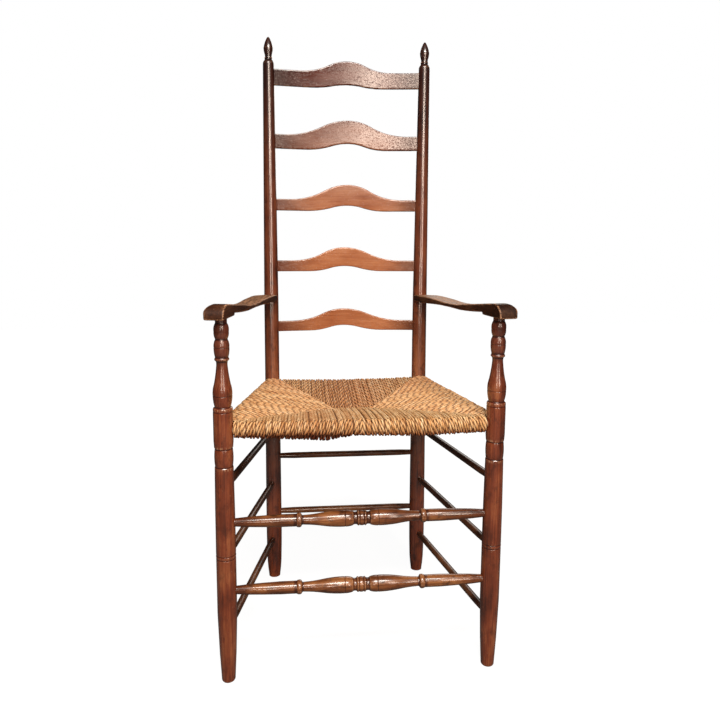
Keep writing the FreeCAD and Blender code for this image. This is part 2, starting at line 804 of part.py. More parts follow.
# Arms: sawn to a side profile, then in plan, with a rolled hand over the front post
def arm(side):
    word = SIDES[side]
    start = on_front(side, arm_height)
    end = on_rear(side, arm_height - size.arm_tenon_drop)
    reach = span(start[:2], end[:2])
    along = (V(*map(float, end[:2]), 0) - V(*map(float, start[:2]), 0)).normalize()
    across = along.cross(UP)
    turned = FreeCAD.Rotation(across, along, UP, "XYZ")
    body = new_piece(f"arm_{word}", FreeCAD.Placement(V(*map(float, start)), turned))
    tip = -size.arm_overhang
    rear_end = reach - size.arm_scribe
    roll_end = tip + size.hand_roll
    thickness = size.hand_thickness

    # Side profile, from the front tip back along the underside and forward along the top
    under = list(arm_under.values())[::-1]
    top = list(arm_top.values())[::-1]
    roll_rise = thickness - size.hand_lip
    roll_chord = root(roll_rise * roll_rise + size.hand_roll * size.hand_roll)
    profile = [
        (tip, 0.0, 0.0),
        (size.hand_length, 0.0, 0.0),
        (size.hand_length + size.notch_run, size.hand_notch, under[0][2]),
    ]
    for index, (at, height, _) in enumerate(under):
        following = under[index + 1][2] if index + 1 < len(under) else 0.0
        profile.append((at, height, following))
    profile += [(rear_end, under[-1][1], 0.0), (rear_end, top[0][1] - size.arm_rear_drop, top[0][2])]
    for index, (at, height, _) in enumerate(top):
        following = top[index + 1][2] if index + 1 < len(top) else size.hand_crown
        profile.append((at, height, following))
    profile += [
        (roll_end, thickness, roll_chord * size.hand_roll_bulge),
        (tip, size.hand_lip, 0.0),
    ]
    sketch = new_sketch(body, "profile", "YZ_Plane")
    draw(sketch, profile)
    width = 4 * size.arm_outside_rear
    extrude(body, sketch, "Pad", width)

    # Plan: the inner edge runs straight, the outer edge opens towards the back, then slants in
    plan = new_sketch(body, "plan", "XY_Plane")
    outer, corner = size.arm_outside_front, size.arm_corner
    cheek = rear_end - size.arm_cheek
    far = 2 * width
    edge = [
        (-size.arm_inside, tip, 0.0),
        (outer - corner, tip, quarter_bulge(corner)),
        (outer, tip + corner, 0.0),
        (size.arm_outside_rear, cheek, 0.0),
        (size.arm_rear_width, rear_end, 0.0),
        (-size.arm_inside, rear_end, 0.0),
    ]
    draw(plan, [(side * x, y, side * bulge) for x, y, bulge in edge])
    draw(plan, [(-far, -far, 0.0), (far, -far, 0.0), (far, 2 * far, 0.0), (-far, 2 * far, 0.0)])
    extrude(body, plan, "Pocket")

    # The hand's outer top edge is rounded over, along the line of the outer edge
    opening = (size.arm_outside_rear - outer) / (cheek - tip - corner)
    edge_away = (outer - opening * (tip + corner)) / root(1 + opening * opening)
    round_end = edge_away + size.hand_edge_past
    round_over = new_sketch(body, "round", "XZ_Plane")
    splay = FreeCAD.Rotation(V(0, 1, 0), -side * math.degrees(math.atan(opening)))
    round_over.AttachmentOffset = FreeCAD.Placement(V(0, 0, 0), splay)
    radius = size.hand_edge
    ring = [
        (round_end - radius, thickness, -quarter_bulge(radius)),
        (round_end, thickness - radius, 0.0),
        (far, thickness - radius, 0.0),
        (far, 2 * thickness, 0.0),
        (round_end - radius, 2 * thickness, 0.0),
    ]
    draw(round_over, [(side * x, y, side * b) for x, y, b in ring])
    extrude(body, round_over, "Pocket", 2 * far)

    # The rear end is scribed to the post and carries a round tenon; the hand is bored from below
    post = pieces[f"rear_post_{word}"]
    foot, head = on_rear(side, 0.0), on_rear(side, size.back_height)
    cylinder(
        body, "scribe", "Subtractive", aimed(foot, head, arm_height - 2 * thickness),
        size.post_radius_arm + size.fit, 4 * thickness,
    )
    level_start = (start[0], start[1], arm_height - size.arm_tenon_drop)
    tenon_past = size.arm_tenon_depth - size.post_radius_arm
    joint = aimed(end, level_start, -tenon_past)
    cylinder(
        body, "tenon", "Additive", joint, size.arm_tenon_radius,
        size.arm_tenon_depth + size.arm_scribe,
    )
    bore = aimed(end, level_start, -(tenon_past + size.bottom_gap))
    cylinder(
        post, f"bore_arm_{word}", "Subtractive", bore, size.arm_tenon_radius + size.fit,
        tenon_past + size.bottom_gap + 2 * size.post_radius,
    )
    below = (start[0], start[1], arm_height - size.bottom_gap)
    cylinder(
        body, "bore_post", "Subtractive", aimed(below, start), size.post_tenon_radius + size.fit,
        size.post_tenon_length + 2 * size.bottom_gap,
    )


# Rush seat: four rolls round the rails and a dished web between them
def seat_frame():
    """The plane through the rails: X to the right, Y from the front rail to the back rail."""
    front, rear = on_front(RIGHT, size.rail_height), on_rear(RIGHT, size.back_rail_height)
    back = V(0, float(rear[1] - front[1]), float(rear[2] - front[2])).normalize()
    turned = FreeCAD.Rotation(V(1, 0, 0), back, V(1, 0, 0).cross(back), "XYZ")
    return FreeCAD.Placement(V(0, float(front[1]), float(front[2])), turned)


def web_corners(inset, seam=False):
    """The web's outline at the rails, drawn in by an inset, or the thin seam at its middle."""
    front, rear = on_front(RIGHT, size.rail_height), on_rear(RIGHT, size.back_rail_height)
    depth = span(front[1:], rear[1:])
    splay = (front[0] - rear[0]) / depth
    if seam:
        front_y = size.seam_back - size.seam_half_width
        rear_y = size.seam_back + size.seam_half_width
        near, far = size.seam_half, size.seam_half - 2 * size.seam_half_width * splay
    else:
        front_y, rear_y = inset, depth - inset
        near, far = front[0] - inset * (1 + splay), rear[0] - inset * (1 - splay)
    return [(-near, front_y, 0.0), (near, front_y, 0.0), (far, rear_y, 0.0), (-far, rear_y, 0.0)]


def loft(body, name, kind, sections):
    """Loft through sections level with the body, each given as a height and corners."""
    sketches = []
    for number, (height, corners) in enumerate(sections):
        sketch = new_sketch(body, f"{name}_{number}", "XY_Plane", height)
        draw(sketch, corners)
        sketches.append(sketch)
    feature = body.newObject(f"PartDesign::{kind}Loft", f"{body.Label}_{name}")
    feature.Profile = sketches[0]
    feature.Sections = sketches[1:]
    feature.Ruled = True
    return feature


def rush_seat():
    body = new_piece("rush_seat", seat_frame())
    for name, start, end, _ in rails():
        cylinder(body, f"roll_{name}", "Additive", aimed(start, end), roll_radius, span(start, end))
    crest = roll_radius - size.web_top_drop
    edge, seam = web_corners(size.web_inset), web_corners(size.web_inset, True)
    loft(body, "web", "Additive", [(-size.seam_bottom_drop, seam), (-crest, edge), (crest, edge)])
    loft(body, "dish", "Subtractive", [(-size.seam_top_drop, seam), (crest, edge)])
    # It is cut round the posts
    below, above = size.rail_height - 3 * roll_radius, size.rail_height + 3 * roll_radius
    for side, word in SIDES.items():
        for place, on_post, radius in (
            ("front", on_front, size.leg_radius), ("rear", on_rear, size.post_radius_seat),
        ):
            start, end = on_post(side, below), on_post(side, above)
            cylinder(
                body, f"round_{place}_post_{word}", "Subtractive", aimed(start, end),
                radius + size.fit + size.rush_clearance, span(start, end),
            )
    for name, start, end, _ in rails():
        cylinder(body, f"tunnel_{name}", "Subtractive", aimed(start, end),
                 size.rail_radius + size.rush_clearance, span(start, end))


for side in SIDES:
    front_post(side)
    rear_post(side)
stretchers_and_rails()
mitre_rails()
bore_posts()
for index in range(len(SLATS)):
    slat(index)
for side in SIDES:
    arm(side)
rush_seat()
doc.recompute()


def check():
    """Stop if anything failed, if a cut took nothing away, or if a piece isn't one sound solid."""
    for item in doc.Objects:
        if "Invalid" in item.State or "Error" in item.State:
            raise RuntimeError(f"{item.Label} failed: {item.State}")
        if item.TypeId.startswith("PartDesign::Subtractive") or item.TypeId == "PartDesign::Pocket":
            if item.Shape.Volume > item.BaseFeature.Shape.Volume - 1e-3:
                raise RuntimeError(f"{item.Label} cuts nothing")
    for name, body in pieces.items():
        if body.Shape.isNull() or not body.Shape.isValid() or len(body.Shape.Solids) != 1:
            raise RuntimeError(f"{name} isn't one valid solid")


check()

# The origin is on the floor under the middle of the finished chair
whole = [body.Shape.optimalBoundingBox(False) for body in pieces.values()]
middle = (min(box.YMin for box in whole) + max(box.YMax for box in whole)) / 2
for body in pieces.values():
    body.Placement = FreeCAD.Placement(V(0, -middle, 0), FreeCAD.Rotation()).multiply(body.Placement)
doc.recompute()
check()

os.makedirs("parts", exist_ok=True)
for name, body in pieces.items():
    body.Shape.exportStep(f"parts/{name}.step")
print(f"{len(pieces)} pieces, front post axes at y = {-middle:.3f}")
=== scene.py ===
# %% [markdown]
# # A turned ladderback armchair
# The chair stands on four turned posts. Two turned stretchers join the front posts, plain rungs
# run round the sides and the back, five shaped slats are let into the rear posts, and two arms
# end in rolled hands. The seat is rush, twisted into cord and wound round four hidden rails.
# The frame that is loaded first holds every wooden piece at its real size. This lesson gives
# each piece its finish, and winds the seat.

import json
import math

import bmesh
import bpy
import numpy as np
from mathutils import Matrix, Vector


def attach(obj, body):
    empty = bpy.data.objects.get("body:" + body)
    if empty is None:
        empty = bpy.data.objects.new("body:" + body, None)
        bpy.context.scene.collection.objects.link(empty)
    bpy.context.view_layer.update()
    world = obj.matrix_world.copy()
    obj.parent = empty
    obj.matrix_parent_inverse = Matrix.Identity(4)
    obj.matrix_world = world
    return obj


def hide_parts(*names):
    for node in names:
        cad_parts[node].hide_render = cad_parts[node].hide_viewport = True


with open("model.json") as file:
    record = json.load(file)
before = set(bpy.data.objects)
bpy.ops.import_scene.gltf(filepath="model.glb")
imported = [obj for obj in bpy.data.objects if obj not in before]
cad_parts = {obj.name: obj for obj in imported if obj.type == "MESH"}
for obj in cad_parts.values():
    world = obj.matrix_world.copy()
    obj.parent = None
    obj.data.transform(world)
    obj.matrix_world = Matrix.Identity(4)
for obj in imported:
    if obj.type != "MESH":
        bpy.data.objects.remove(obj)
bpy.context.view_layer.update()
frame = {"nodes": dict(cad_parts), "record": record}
scene = bpy.context.scene
MILLIMETRE = 0.001

# %% [markdown]
# ## Small helpers
# Four jobs come back all through the lesson: reading a mesh's points, keeping a value at each
# point, putting new data in the scene, and taking the plain mesh that modifiers make.


# %% Small helpers
def coordinates(mesh):
    """A mesh's points as rows of x, y and z."""
    flat = np.empty(len(mesh.vertices) * 3)
    mesh.vertices.foreach_get("co", flat)
    return flat.reshape(-1, 3)


def keep_values(mesh, label, values, kind="FLOAT"):
    """Keep a number, or a vector, at each point of a mesh."""
    attribute = mesh.attributes.new(label, kind, "POINT")
    attribute.data.foreach_set(
        "value" if kind == "FLOAT" else "vector", np.asarray(values, np.float32).ravel())


def add_object(name, data):
    """A new object in the scene."""
    thing = bpy.data.objects.new(name, data)
    scene.collection.objects.link(thing)
    return thing


def plain_mesh(thing):
    """The mesh that an object's modifiers make."""
    graph = bpy.context.evaluated_depsgraph_get()
    return bpy.data.meshes.new_from_object(thing.evaluated_get(graph), depsgraph=graph)


def share_between(value, low, high):
    """0 at one value and 1 at another, never outside."""
    return min(1.0, max(0.0, (value - low) / (high - low)))


print("a share a quarter of the way:", share_between(1.25, 1.0, 2.0))

# %% [markdown]
# ## Where things are
# A turned piece is known by its axis. The feet are named in the record, and the other ends are
# found as the middle of the piece's last ring of points, so nothing has to be measured twice.

# %% Points and axes of the frame's pieces
END_RING = 0.15 * MILLIMETRE      # points this near a piece's end belong to its last ring
SIDES = ("left", "right")
UP = np.array([0.0, 0.0, 1.0])


def points_of(node):
    """The separate points of one piece of the frame."""
    return np.unique(np.round(coordinates(frame["nodes"][node].data), 7), axis=0)


def end_middle(points, direction):
    """The middle of the ring of points that lies furthest along a direction."""
    reach = points @ direction
    return points[reach > reach.max() - END_RING].mean(axis=0)


def axis_of(node):
    """The two ends of a round piece's axis, from its lower left front end."""
    points = points_of(node)
    direction = np.linalg.svd(points - points.mean(axis=0), full_matrices=False)[2][0]
    if direction.sum() < 0:
        direction = -direction
    for _ in range(3):
        start, end = end_middle(points, -direction), end_middle(points, direction)
        direction = (end - start) / np.linalg.norm(end - start)
    return start, end


feet = {mount["name"]: np.array(mount["pos_m"]) for mount in frame["record"]["mounts"]}
post_axes = {}
for side in SIDES:
    front, rear = f"front_post_{side}", f"rear_post_{side}"
    post_axes[front] = (feet[f"foot_front_{side}"], end_middle(points_of(front), UP))
    foot = feet[f"foot_rear_{side}"]
    lean = end_middle(points_of(rear), UP) - foot
    lean /= np.linalg.norm(lean)
    post_axes[rear] = (foot, end_middle(points_of(rear), lean))
for name, (start, end) in post_axes.items():
    print(name, start.round(4), end.round(4))

# %% [markdown]
# ## The camera
# The photograph was taken a little to the left of the chair and from about the height of the
# arms. Four things fix a camera: where it stands, where it points, how long its lens is and
# where the picture's middle falls. The last is the shift, because the picture was cropped.

# %% Camera
PHOTO_PIXELS = 720
FOCAL_PIXELS = 629.73
MIDDLE_PIXEL = (358.41, 311.94)
CAMERA_PLACE = (-0.11308, -1.07329, 0.8155)     # from the floor between the front posts
CAMERA_YAW, CAMERA_PITCH, CAMERA_ROLL = 5.5873, 7.4126, -0.3491
SENSOR = 36.0


def add_camera():
    yaw, pitch, roll = (math.radians(turn) for turn in (CAMERA_YAW, CAMERA_PITCH, CAMERA_ROLL))
    ahead = Vector((
        math.sin(yaw) * math.cos(pitch), math.cos(yaw) * math.cos(pitch), -math.sin(pitch)))
    level = Vector((math.cos(yaw), -math.sin(yaw), 0.0))
    up = level.cross(ahead)
    right = math.cos(roll) * level - math.sin(roll) * up
    top = math.sin(roll) * level + math.cos(roll) * up
    place = Vector(CAMERA_PLACE) + Vector((0.0, feet["foot_front_left"][1], 0.0))
    data = bpy.data.cameras.new("camera")
    data.sensor_width, data.lens = SENSOR, FOCAL_PIXELS / PHOTO_PIXELS * SENSOR
    data.shift_x = 0.5 - MIDDLE_PIXEL[0] / PHOTO_PIXELS
    data.shift_y = MIDDLE_PIXEL[1] / PHOTO_PIXELS - 0.5
    scene.camera = add_object("camera", data)
    scene.camera.matrix_world = Matrix((
        (right.x, top.x, -ahead.x, place.x),
        (right.y, top.y, -ahead.y, place.y),
        (right.z, top.z, -ahead.z, place.z),
        (0.0, 0.0, 0.0, 1.0),
    ))


add_camera()
print("lens", round(scene.camera.data.lens, 2), "mm")

# %% [markdown]
# ## Nodes without clutter
# Materials and geometry trees are both graphs of nodes. This helper adds a node, sets its
# options, and feeds each named input with a number or with another node's output. What both
# kinds of graph need often, such as sums, ramps and noise, gets a short name of its own.

# %% Node helper
NODES_IN_ROW = 12


class Graph:
    """Adds nodes to a tree, with their options and what feeds their inputs."""

    def __init__(self, tree):
        self.tree = tree
        self.count = 0

    def feed(self, socket, source):
        if isinstance(source, bpy.types.NodeSocket):
            self.tree.links.new(source, socket)
        elif socket.type == "RGBA":
            socket.default_value = (*source, 1.0)
        else:
            socket.default_value = source

    def add(self, kind, inputs=None, **options):
        node = self.tree.nodes.new(kind)
        node.location = (180 * (self.count % NODES_IN_ROW), -260 * (self.count // NODES_IN_ROW))
        self.count += 1
        for name, value in options.items():
            setattr(node, name, value)
        for key, source in (inputs or {}).items():
            self.feed(node.inputs[key], source)
        return node

    def out(self, kind, inputs=None, **options):
        """Add a node and return its first output."""
        return self.add(kind, inputs, **options).outputs[0]

    def maths(self, operation, *sources, clamp=False):
        return self.out("ShaderNodeMath", dict(enumerate(sources)),
                        operation=operation, use_clamp=clamp)

    def vector(self, operation, *sources):
        node = self.add("ShaderNodeVectorMath", dict(enumerate(sources)), operation=operation)
        return node.outputs["Value" if operation == "LENGTH" else "Vector"]

    def scaled(self, vector, factor):
        return self.out(
            "ShaderNodeVectorMath", {0: vector, "Scale": factor}, operation="SCALE")

    def ramp(self, source, low, high):
        """0 at one value and 1 at another, smooth between."""
        return self.out("ShaderNodeMapRange", {
            "Value": source, "From Min": low, "From Max": high}, interpolation_type="SMOOTHSTEP")

    def mix(self, share, first, second, blend="MIX"):
        return self.add("ShaderNodeMix", {"Factor": share, 6: first, 7: second},
                        data_type="RGBA", blend_type=blend).outputs[2]

    def colours(self, source, stops):
        """Colours along a scale, from pairs of a place and a colour."""
        node = self.add("ShaderNodeValToRGB", {"Fac": source})
        elements = node.color_ramp.elements
        while len(elements) < len(stops):
            elements.new(0.5)
        for element, (place, colour) in zip(elements, stops):
            element.position, element.color = place, (*colour, 1.0)
        return node.outputs["Color"]

    def noise(self, place, scale, detail=2.0, roughness=0.5, distortion=0.0):
        """Noise on a point, with a scale for each axis in features a metre."""
        return self.out("ShaderNodeTexNoise", {
            "Vector": self.vector("MULTIPLY", place, scale), "Scale": 1.0, "Detail": detail,
            "Roughness": roughness, "Distortion": distortion})


print("the node helper knows", [name for name in vars(Graph) if not name.startswith("_")])

# %% [markdown]
# ## Starting a material
# Every finish starts in the same way. A material reads where it is either from the object's own
# coordinates or from a value kept at the mesh's points, so it stays put from every side.


# %% Material helpers
def new_material(name):
    """A material, its graph and its surface shader."""
    material = bpy.data.materials.new(name)
    material.use_nodes = True
    return material, Graph(material.node_tree), material.node_tree.nodes["Principled BSDF"]


def kept_value(graph, name, output="Fac"):
    return graph.add("ShaderNodeAttribute", attribute_name=name).outputs[output]


def object_place(graph):
    return graph.add("ShaderNodeTexCoord").outputs["Object"]


def add_bump(graph, surface, height, strength, distance):
    graph.feed(surface.inputs["Normal"], graph.out("ShaderNodeBump", {
        "Height": height, "Strength": strength, "Distance": distance}))


print("materials before the first finish:", len(bpy.data.materials))

# %% [markdown]
# ## Varnished wood
# The chair is an old red-brown stain under varnish. Three things make it read as wood: long
# streaks of grain, wider bands where the stain took differently, and short dark pores. All of
# them are noise, stretched along the piece. A photograph of wood would be quicker, but it shows
# its edges and repeats. Every wooden piece carries its own grain coordinates, with Z along the
# piece, so the grain always runs the way the piece was cut.

# %% Grain and stain
WOOD_NOISES = {         # features a metre across and along, detail, roughness, distortion
    "streaks": ((420.0, 420.0, 11.0), 5.0, 0.62, 0.15),
    "bands": ((60.0, 60.0, 3.2), 3.0, 0.55, 0.5),
    "stain": ((26.0, 26.0, 15.0), 3.0, 0.5),
    "pores": ((1500.0, 1500.0, 90.0), 2.0, 0.5),
    "patches": ((75.0, 75.0, 48.0), 4.0, 0.6),
    "scuffs": ((460.0, 460.0, 32.0), 4.0, 0.7),
    "chips": ((260.0, 260.0, 190.0), 2.0, 0.6),
    "specks": ((330.0, 330.0, 230.0), 4.0, 0.65),
    "hollows": ((130.0, 130.0, 70.0), 2.0, 0.5),
}
PORE_SHARE = 0.55
DIRT_TONE = 0.45                        # dirt is the darkest stain, darker still
GROOVE_DARKENING = (0.38, 0.28, 0.26)


def stained(graph, noise, uneven, pores, dark, middle, light, patchy):
    """The stain's colour, with its pores and its patches of dirt and old varnish."""
    shade = graph.maths(
        "MULTIPLY_ADD", noise["streaks"], 0.55, graph.maths("MULTIPLY", noise["bands"], 0.45))
    shade = graph.maths("MULTIPLY_ADD", uneven, 0.55, shade)
    colour = graph.colours(shade, ((0.30, dark), (0.50, middle), (0.68, light)))
    colour = graph.mix(graph.maths("MULTIPLY", pores, PORE_SHARE), colour, dark)
    patches = graph.maths("MULTIPLY", graph.ramp(noise["patches"], 0.52, 0.70), patchy)
    return graph.mix(patches, colour, tuple(DIRT_TONE * part for part in dark))


def toned(graph, colour, place, darkening, ends):
    """Multiply the colour from one height to another, and towards either side."""
    for low, high, tone in darkening:
        colour = graph.mix(graph.ramp(place["Z"], low, high), colour, tone, "MULTIPLY")
    for far, near, tone in ends:
        share = graph.maths("SUBTRACT", 1.0, graph.ramp(place["X"], far, near))
        colour = graph.mix(share, colour, tone, "MULTIPLY")
    # the grooves are darkened too
    recess = graph.ramp(kept_value(graph, "recess"), 0.05, 0.6)
    return graph.mix(recess, colour, GROOVE_DARKENING, "MULTIPLY")


print(len(WOOD_NOISES), "noises for the wood")

# %% [markdown]
# Wear comes last: on proud edges the stain is rubbed through to paler wood, here and there it
# has chipped, and the polish has gone with it. High up on the right, where the slats catch the
# light, small dull specks break their shine.

# %% Wood finish
WORN_WOOD = (0.42, 0.22, 0.12)


def rubbed_bare(graph, noise, wear, scuffed):
    """Where edges are rubbed and chips are gone, from 0 to 1."""
    # on the arms' tops the kept wear also holds a painted sheen, so those tops turn paler too
    rubbed = graph.maths("MULTIPLY", graph.ramp(noise["scuffs"], scuffed, scuffed + 0.16),
                         graph.ramp(kept_value(graph, "wear"), 0.25, 0.8))
    chips = graph.maths("MULTIPLY", graph.ramp(noise["chips"], 0.70, 0.74), 0.5 * wear)
    return graph.maths("MAXIMUM", graph.maths("MULTIPLY", rubbed, wear), chips)


def wood(name, dark, middle, light, roughness, coat=0.35, polish=0.2, varnish=1.5, specular=0.3,
         wear=1.0, scuffed=0.46, patchy=0.55, dents=0.8, dull=0.0, open_grain=0.35,
         darkening=(), ends=()):
    """A stained wood. Coat, polish and varnish are the varnish's share, roughness and index."""
    material, graph, surface = new_material(name)
    grain = kept_value(graph, "grain", "Vector")
    noise = {label: graph.noise(grain, *given) for label, given in WOOD_NOISES.items()}
    place = graph.add("ShaderNodeSeparateXYZ", {0: object_place(graph)}).outputs
    uneven = graph.maths("SUBTRACT", noise["stain"], 0.5)
    pores = graph.ramp(noise["pores"], 0.60, 0.72)
    colour = stained(graph, noise, uneven, pores, dark, middle, light, patchy)
    colour = toned(graph, colour, place, darkening, ends)
    bare = rubbed_bare(graph, noise, wear, scuffed)
    graph.feed(surface.inputs["Base Color"], graph.mix(bare, colour, WORN_WOOD))

    shining = graph.maths(
        "MULTIPLY", graph.ramp(place["X"], -0.03, 0.16), graph.ramp(place["Z"], 0.80, 1.10))
    specks = graph.ramp(graph.maths("MULTIPLY_ADD", shining, 0.13, noise["specks"]), 0.60, 0.70)
    gloss = graph.maths("MULTIPLY_ADD", uneven, 0.22, roughness)
    gloss = graph.maths("MULTIPLY_ADD", bare, 0.3, gloss, clamp=True)
    gloss = graph.maths("MULTIPLY_ADD", specks, dull, gloss, clamp=True)
    graph.feed(surface.inputs["Roughness"], gloss)
    surface.inputs["Coat Weight"].default_value = coat
    surface.inputs["Coat Roughness"].default_value = polish
    surface.inputs["Coat IOR"].default_value = varnish
    surface.inputs["Specular IOR Level"].default_value = specular

    relief = graph.maths("MULTIPLY", pores, -1.4 * open_grain)
    relief = graph.maths("MULTIPLY_ADD", noise["streaks"], open_grain, relief)
    for part, height in ((bare, -0.6), (noise["hollows"], dents), (specks, -2.5 * dull)):
        relief = graph.maths("MULTIPLY_ADD", part, height, relief)
    add_bump(graph, surface, relief, 0.25, 0.22 * MILLIMETRE)
    return material


print("rubbed edges show", WORN_WOOD)

# %% [markdown]
# One recipe serves the whole chair, with its own tones for each kind of piece. The posts are
# the reddest. The rear posts darken towards the top, and towards the foot they are painted
# lighter and redder, a painted pool of light. The slats are paler and shine, the arms are nearly
# black except on top, where rubbed wear and a painted sheen make them paler, and the plain side
# rungs are browner than the turned stretchers.

# %% The chair's woods
post_wood = wood(
    "post_wood", (0.065, 0.012, 0.004), (0.21, 0.043, 0.014), (0.37, 0.115, 0.040), 0.38,
    coat=0.8, polish=0.22, varnish=1.85, patchy=0.4,
    darkening=((0.49, 0.62, (0.62, 0.68, 1.0)),))
rear_post_wood = wood(
    "rear_post_wood", (0.060, 0.013, 0.007), (0.24, 0.064, 0.023), (0.36, 0.120, 0.045), 0.42,
    coat=1.0, polish=0.20, varnish=2.0,
    darkening=((0.56, 0.74, (0.64, 0.54, 0.52)), (0.76, 1.20, (0.20, 0.17, 0.17)),
               # towards the foot the colour is painted lighter and redder: a painted pool of
               # light on the dim lower legs
               (0.36, 0.12, (1.45, 1.1, 0.95))))
slat_wood = wood(
    "slat_wood", (0.27, 0.076, 0.028), (0.40, 0.140, 0.056), (0.50, 0.203, 0.090), 0.17,
    coat=0.2, polish=0.13, specular=0.68, wear=0.6, patchy=0.0, dents=1.6, dull=0.35,
    darkening=((0.80, 1.12, (0.20, 0.070, 0.036)),),
    # the slats' ends are painted darker: painted shade beside the posts, with grime as well at
    # the right end
    ends=((-0.17, -0.05, (0.28, 0.18, 0.16)), (0.17, 0.08, (0.36, 0.35, 0.42))))
arm_wood = wood(
    "arm_wood", (0.018, 0.005, 0.002), (0.062, 0.020, 0.008), (0.16, 0.072, 0.032), 0.46,
    coat=0.15, polish=0.3, specular=0.25, scuffed=0.40,
    ends=((0.25, 0.19, (0.32, 0.27, 0.25)),))
stretcher_wood = wood(
    "stretcher_wood", (0.028, 0.006, 0.003), (0.19, 0.060, 0.018), (0.40, 0.160, 0.050), 0.36,
    coat=0.9, polish=0.18, varnish=1.58, specular=0.36, patchy=0.7, open_grain=0.10,
    # the ends beside the posts are painted darker: a painted contact shadow
    ends=((-0.225, -0.17, (0.50, 0.36, 0.30)), (0.225, 0.17, (0.55, 0.40, 0.34))))
side_stretcher_wood = wood(
    "side_stretcher_wood", (0.020, 0.005, 0.003), (0.115, 0.039, 0.015), (0.21, 0.082, 0.032),
    0.42, coat=0.6, polish=0.26)
woods = (post_wood, rear_post_wood, slat_wood, arm_wood, stretcher_wood, side_stretcher_wood)
print("wood finishes:", [finish.name for finish in woods])

# %% [markdown]
# ## Trees of geometry nodes
# A tree of geometry nodes is a recipe that runs on any line drawing: it is given a line and
# some sizes, and returns a solid. Both trees here end in the same way. Noise pushes the surface
# in and out a little, and then the tree makes its result real and gives it its finish.


# %% Tree helpers
def new_tree(name, wanted):
    """A tree with named inputs, its graph, and the outputs that give them."""
    tree = bpy.data.node_groups.new(name, "GeometryNodeTree")
    tree.interface.new_socket("Geometry", in_out="INPUT", socket_type="NodeSocketGeometry")
    for label, kind in wanted.items():
        tree.interface.new_socket(label, in_out="INPUT", socket_type=f"NodeSocket{kind}")
    tree.interface.new_socket("Geometry", in_out="OUTPUT", socket_type="NodeSocketGeometry")
    graph = Graph(tree)
    return tree, graph, graph.add("NodeGroupInput").outputs


def drawn_value(graph, name):
    """A value kept at the points of the drawing."""
    return graph.out("GeometryNodeInputNamedAttribute", {"Name": name}, data_type="FLOAT")


def store_value(graph, geometry, name, value, kind="FLOAT"):
    return graph.out("GeometryNodeStoreNamedAttribute", {
        "Geometry": geometry, "Name": name, "Value": value}, data_type=kind, domain="POINT")


def end_tree(graph, given, mesh, noise, amount):
    """Let noise push the surface in and out, make it real, and give it its finish."""
    swell = graph.maths("MULTIPLY", graph.maths("SUBTRACT", noise, 0.5), amount)
    offset = graph.scaled(graph.out("GeometryNodeInputNormal"), swell)
    mesh = graph.out("GeometryNodeSetPosition", {"Geometry": mesh, "Offset": offset})
    mesh = graph.out("GeometryNodeSetShadeSmooth", {"Geometry": mesh})
    mesh = graph.out("GeometryNodeRealizeInstances", {"Geometry": mesh})
    mesh = graph.out("GeometryNodeSetMaterial", {"Geometry": mesh, "Material": given["Finish"]})
    graph.add("NodeGroupOutput", {"Geometry": mesh})


def grow(name, points, edges, values, tree, settings):
    """Run a tree on a line drawing and return the result as a plain piece."""
    drawing = bpy.data.meshes.new(f"{name}_line")
    drawing.from_pydata([tuple(point) for point in points], edges, [])
    for label, numbers in values.items():
        keep_values(drawing, label, numbers)
    source = add_object(f"{name}_source", drawing)
    modifier = source.modifiers.new("tree", "NODES")
    modifier.node_group = tree
    identifiers = {item.name: item.identifier for item in tree.interface.items_tree
                   if item.in_out == "INPUT"}
    for label, value in settings.items():
        modifier[identifiers[label]] = value
    mesh = plain_mesh(source)
    bpy.data.objects.remove(source)
    bpy.data.meshes.remove(drawing)
    mesh.name = name
    return add_object(name, mesh)


print("trees before the first:", len(bpy.data.node_groups))

# %% [markdown]
# ## Turning on the lathe
# A lathe turns one outline about one axis, and a tree can do the same: the outline is a line of
# points with a radius at each, the line becomes a curve, and a circle is swept along it. The
# spin tool would also do, but the tree can be run again for every turned piece.


# %% The lathe as a tree of nodes
def lathe_tree():
    tree, graph, given = new_tree("lathe", {
        "Sides": "Int", "Unevenness": "Float", "Seed": "Float", "Finish": "Material"})
    radius = drawn_value(graph, "radius")
    curve = graph.out("GeometryNodeMeshToCurve", {"Mesh": given["Geometry"]})
    curve = graph.out("GeometryNodeSetCurveRadius", {"Curve": curve, "Radius": radius})
    circle = graph.out("GeometryNodeCurvePrimitiveCircle", {
        "Resolution": given["Sides"], "Radius": 1.0})
    mesh = graph.out("GeometryNodeCurveToMesh", {
        "Curve": curve, "Profile Curve": circle, "Scale": radius, "Fill Caps": True})
    seed = graph.out("ShaderNodeCombineXYZ", {axis: given["Seed"] for axis in range(3)})
    grain = graph.vector("ADD", graph.out("GeometryNodeInputPosition"), seed)
    mesh = store_value(graph, mesh, "grain", grain, "FLOAT_VECTOR")
    end_tree(graph, given, mesh, graph.noise(grain, (28.0, 28.0, 17.0)), given["Unevenness"])
    return tree


lathe = lathe_tree()
print("lathe tree:", len(lathe.nodes), "nodes")

# %% [markdown]
# The outline is read from the frame's piece, which is made of rings: many points at the same
# distance along the axis and the same radius. A bore or a slot has points too, but they don't
# lie in rings, so counting them tells the outline from the joinery. The outline is softened a
# little, because varnish fills sharp corners and hands rub them down.

# %% Outlines of the turned pieces
RING_POINTS = 8                     # fewer points than this aren't a ring
SAME_RING = 0.02 * MILLIMETRE
OUTLINE_STEP = 0.25 * MILLIMETRE
SOFTENING = 0.35 * MILLIMETRE       # spread of the rounding of small corners
OUTLINE_ERROR = 0.012 * MILLIMETRE
LONGEST_STEP = 7.0 * MILLIMETRE
AROUND = 10                         # outline steps to each side that a point is compared with
FULLY_PROUD = 0.30 * MILLIMETRE


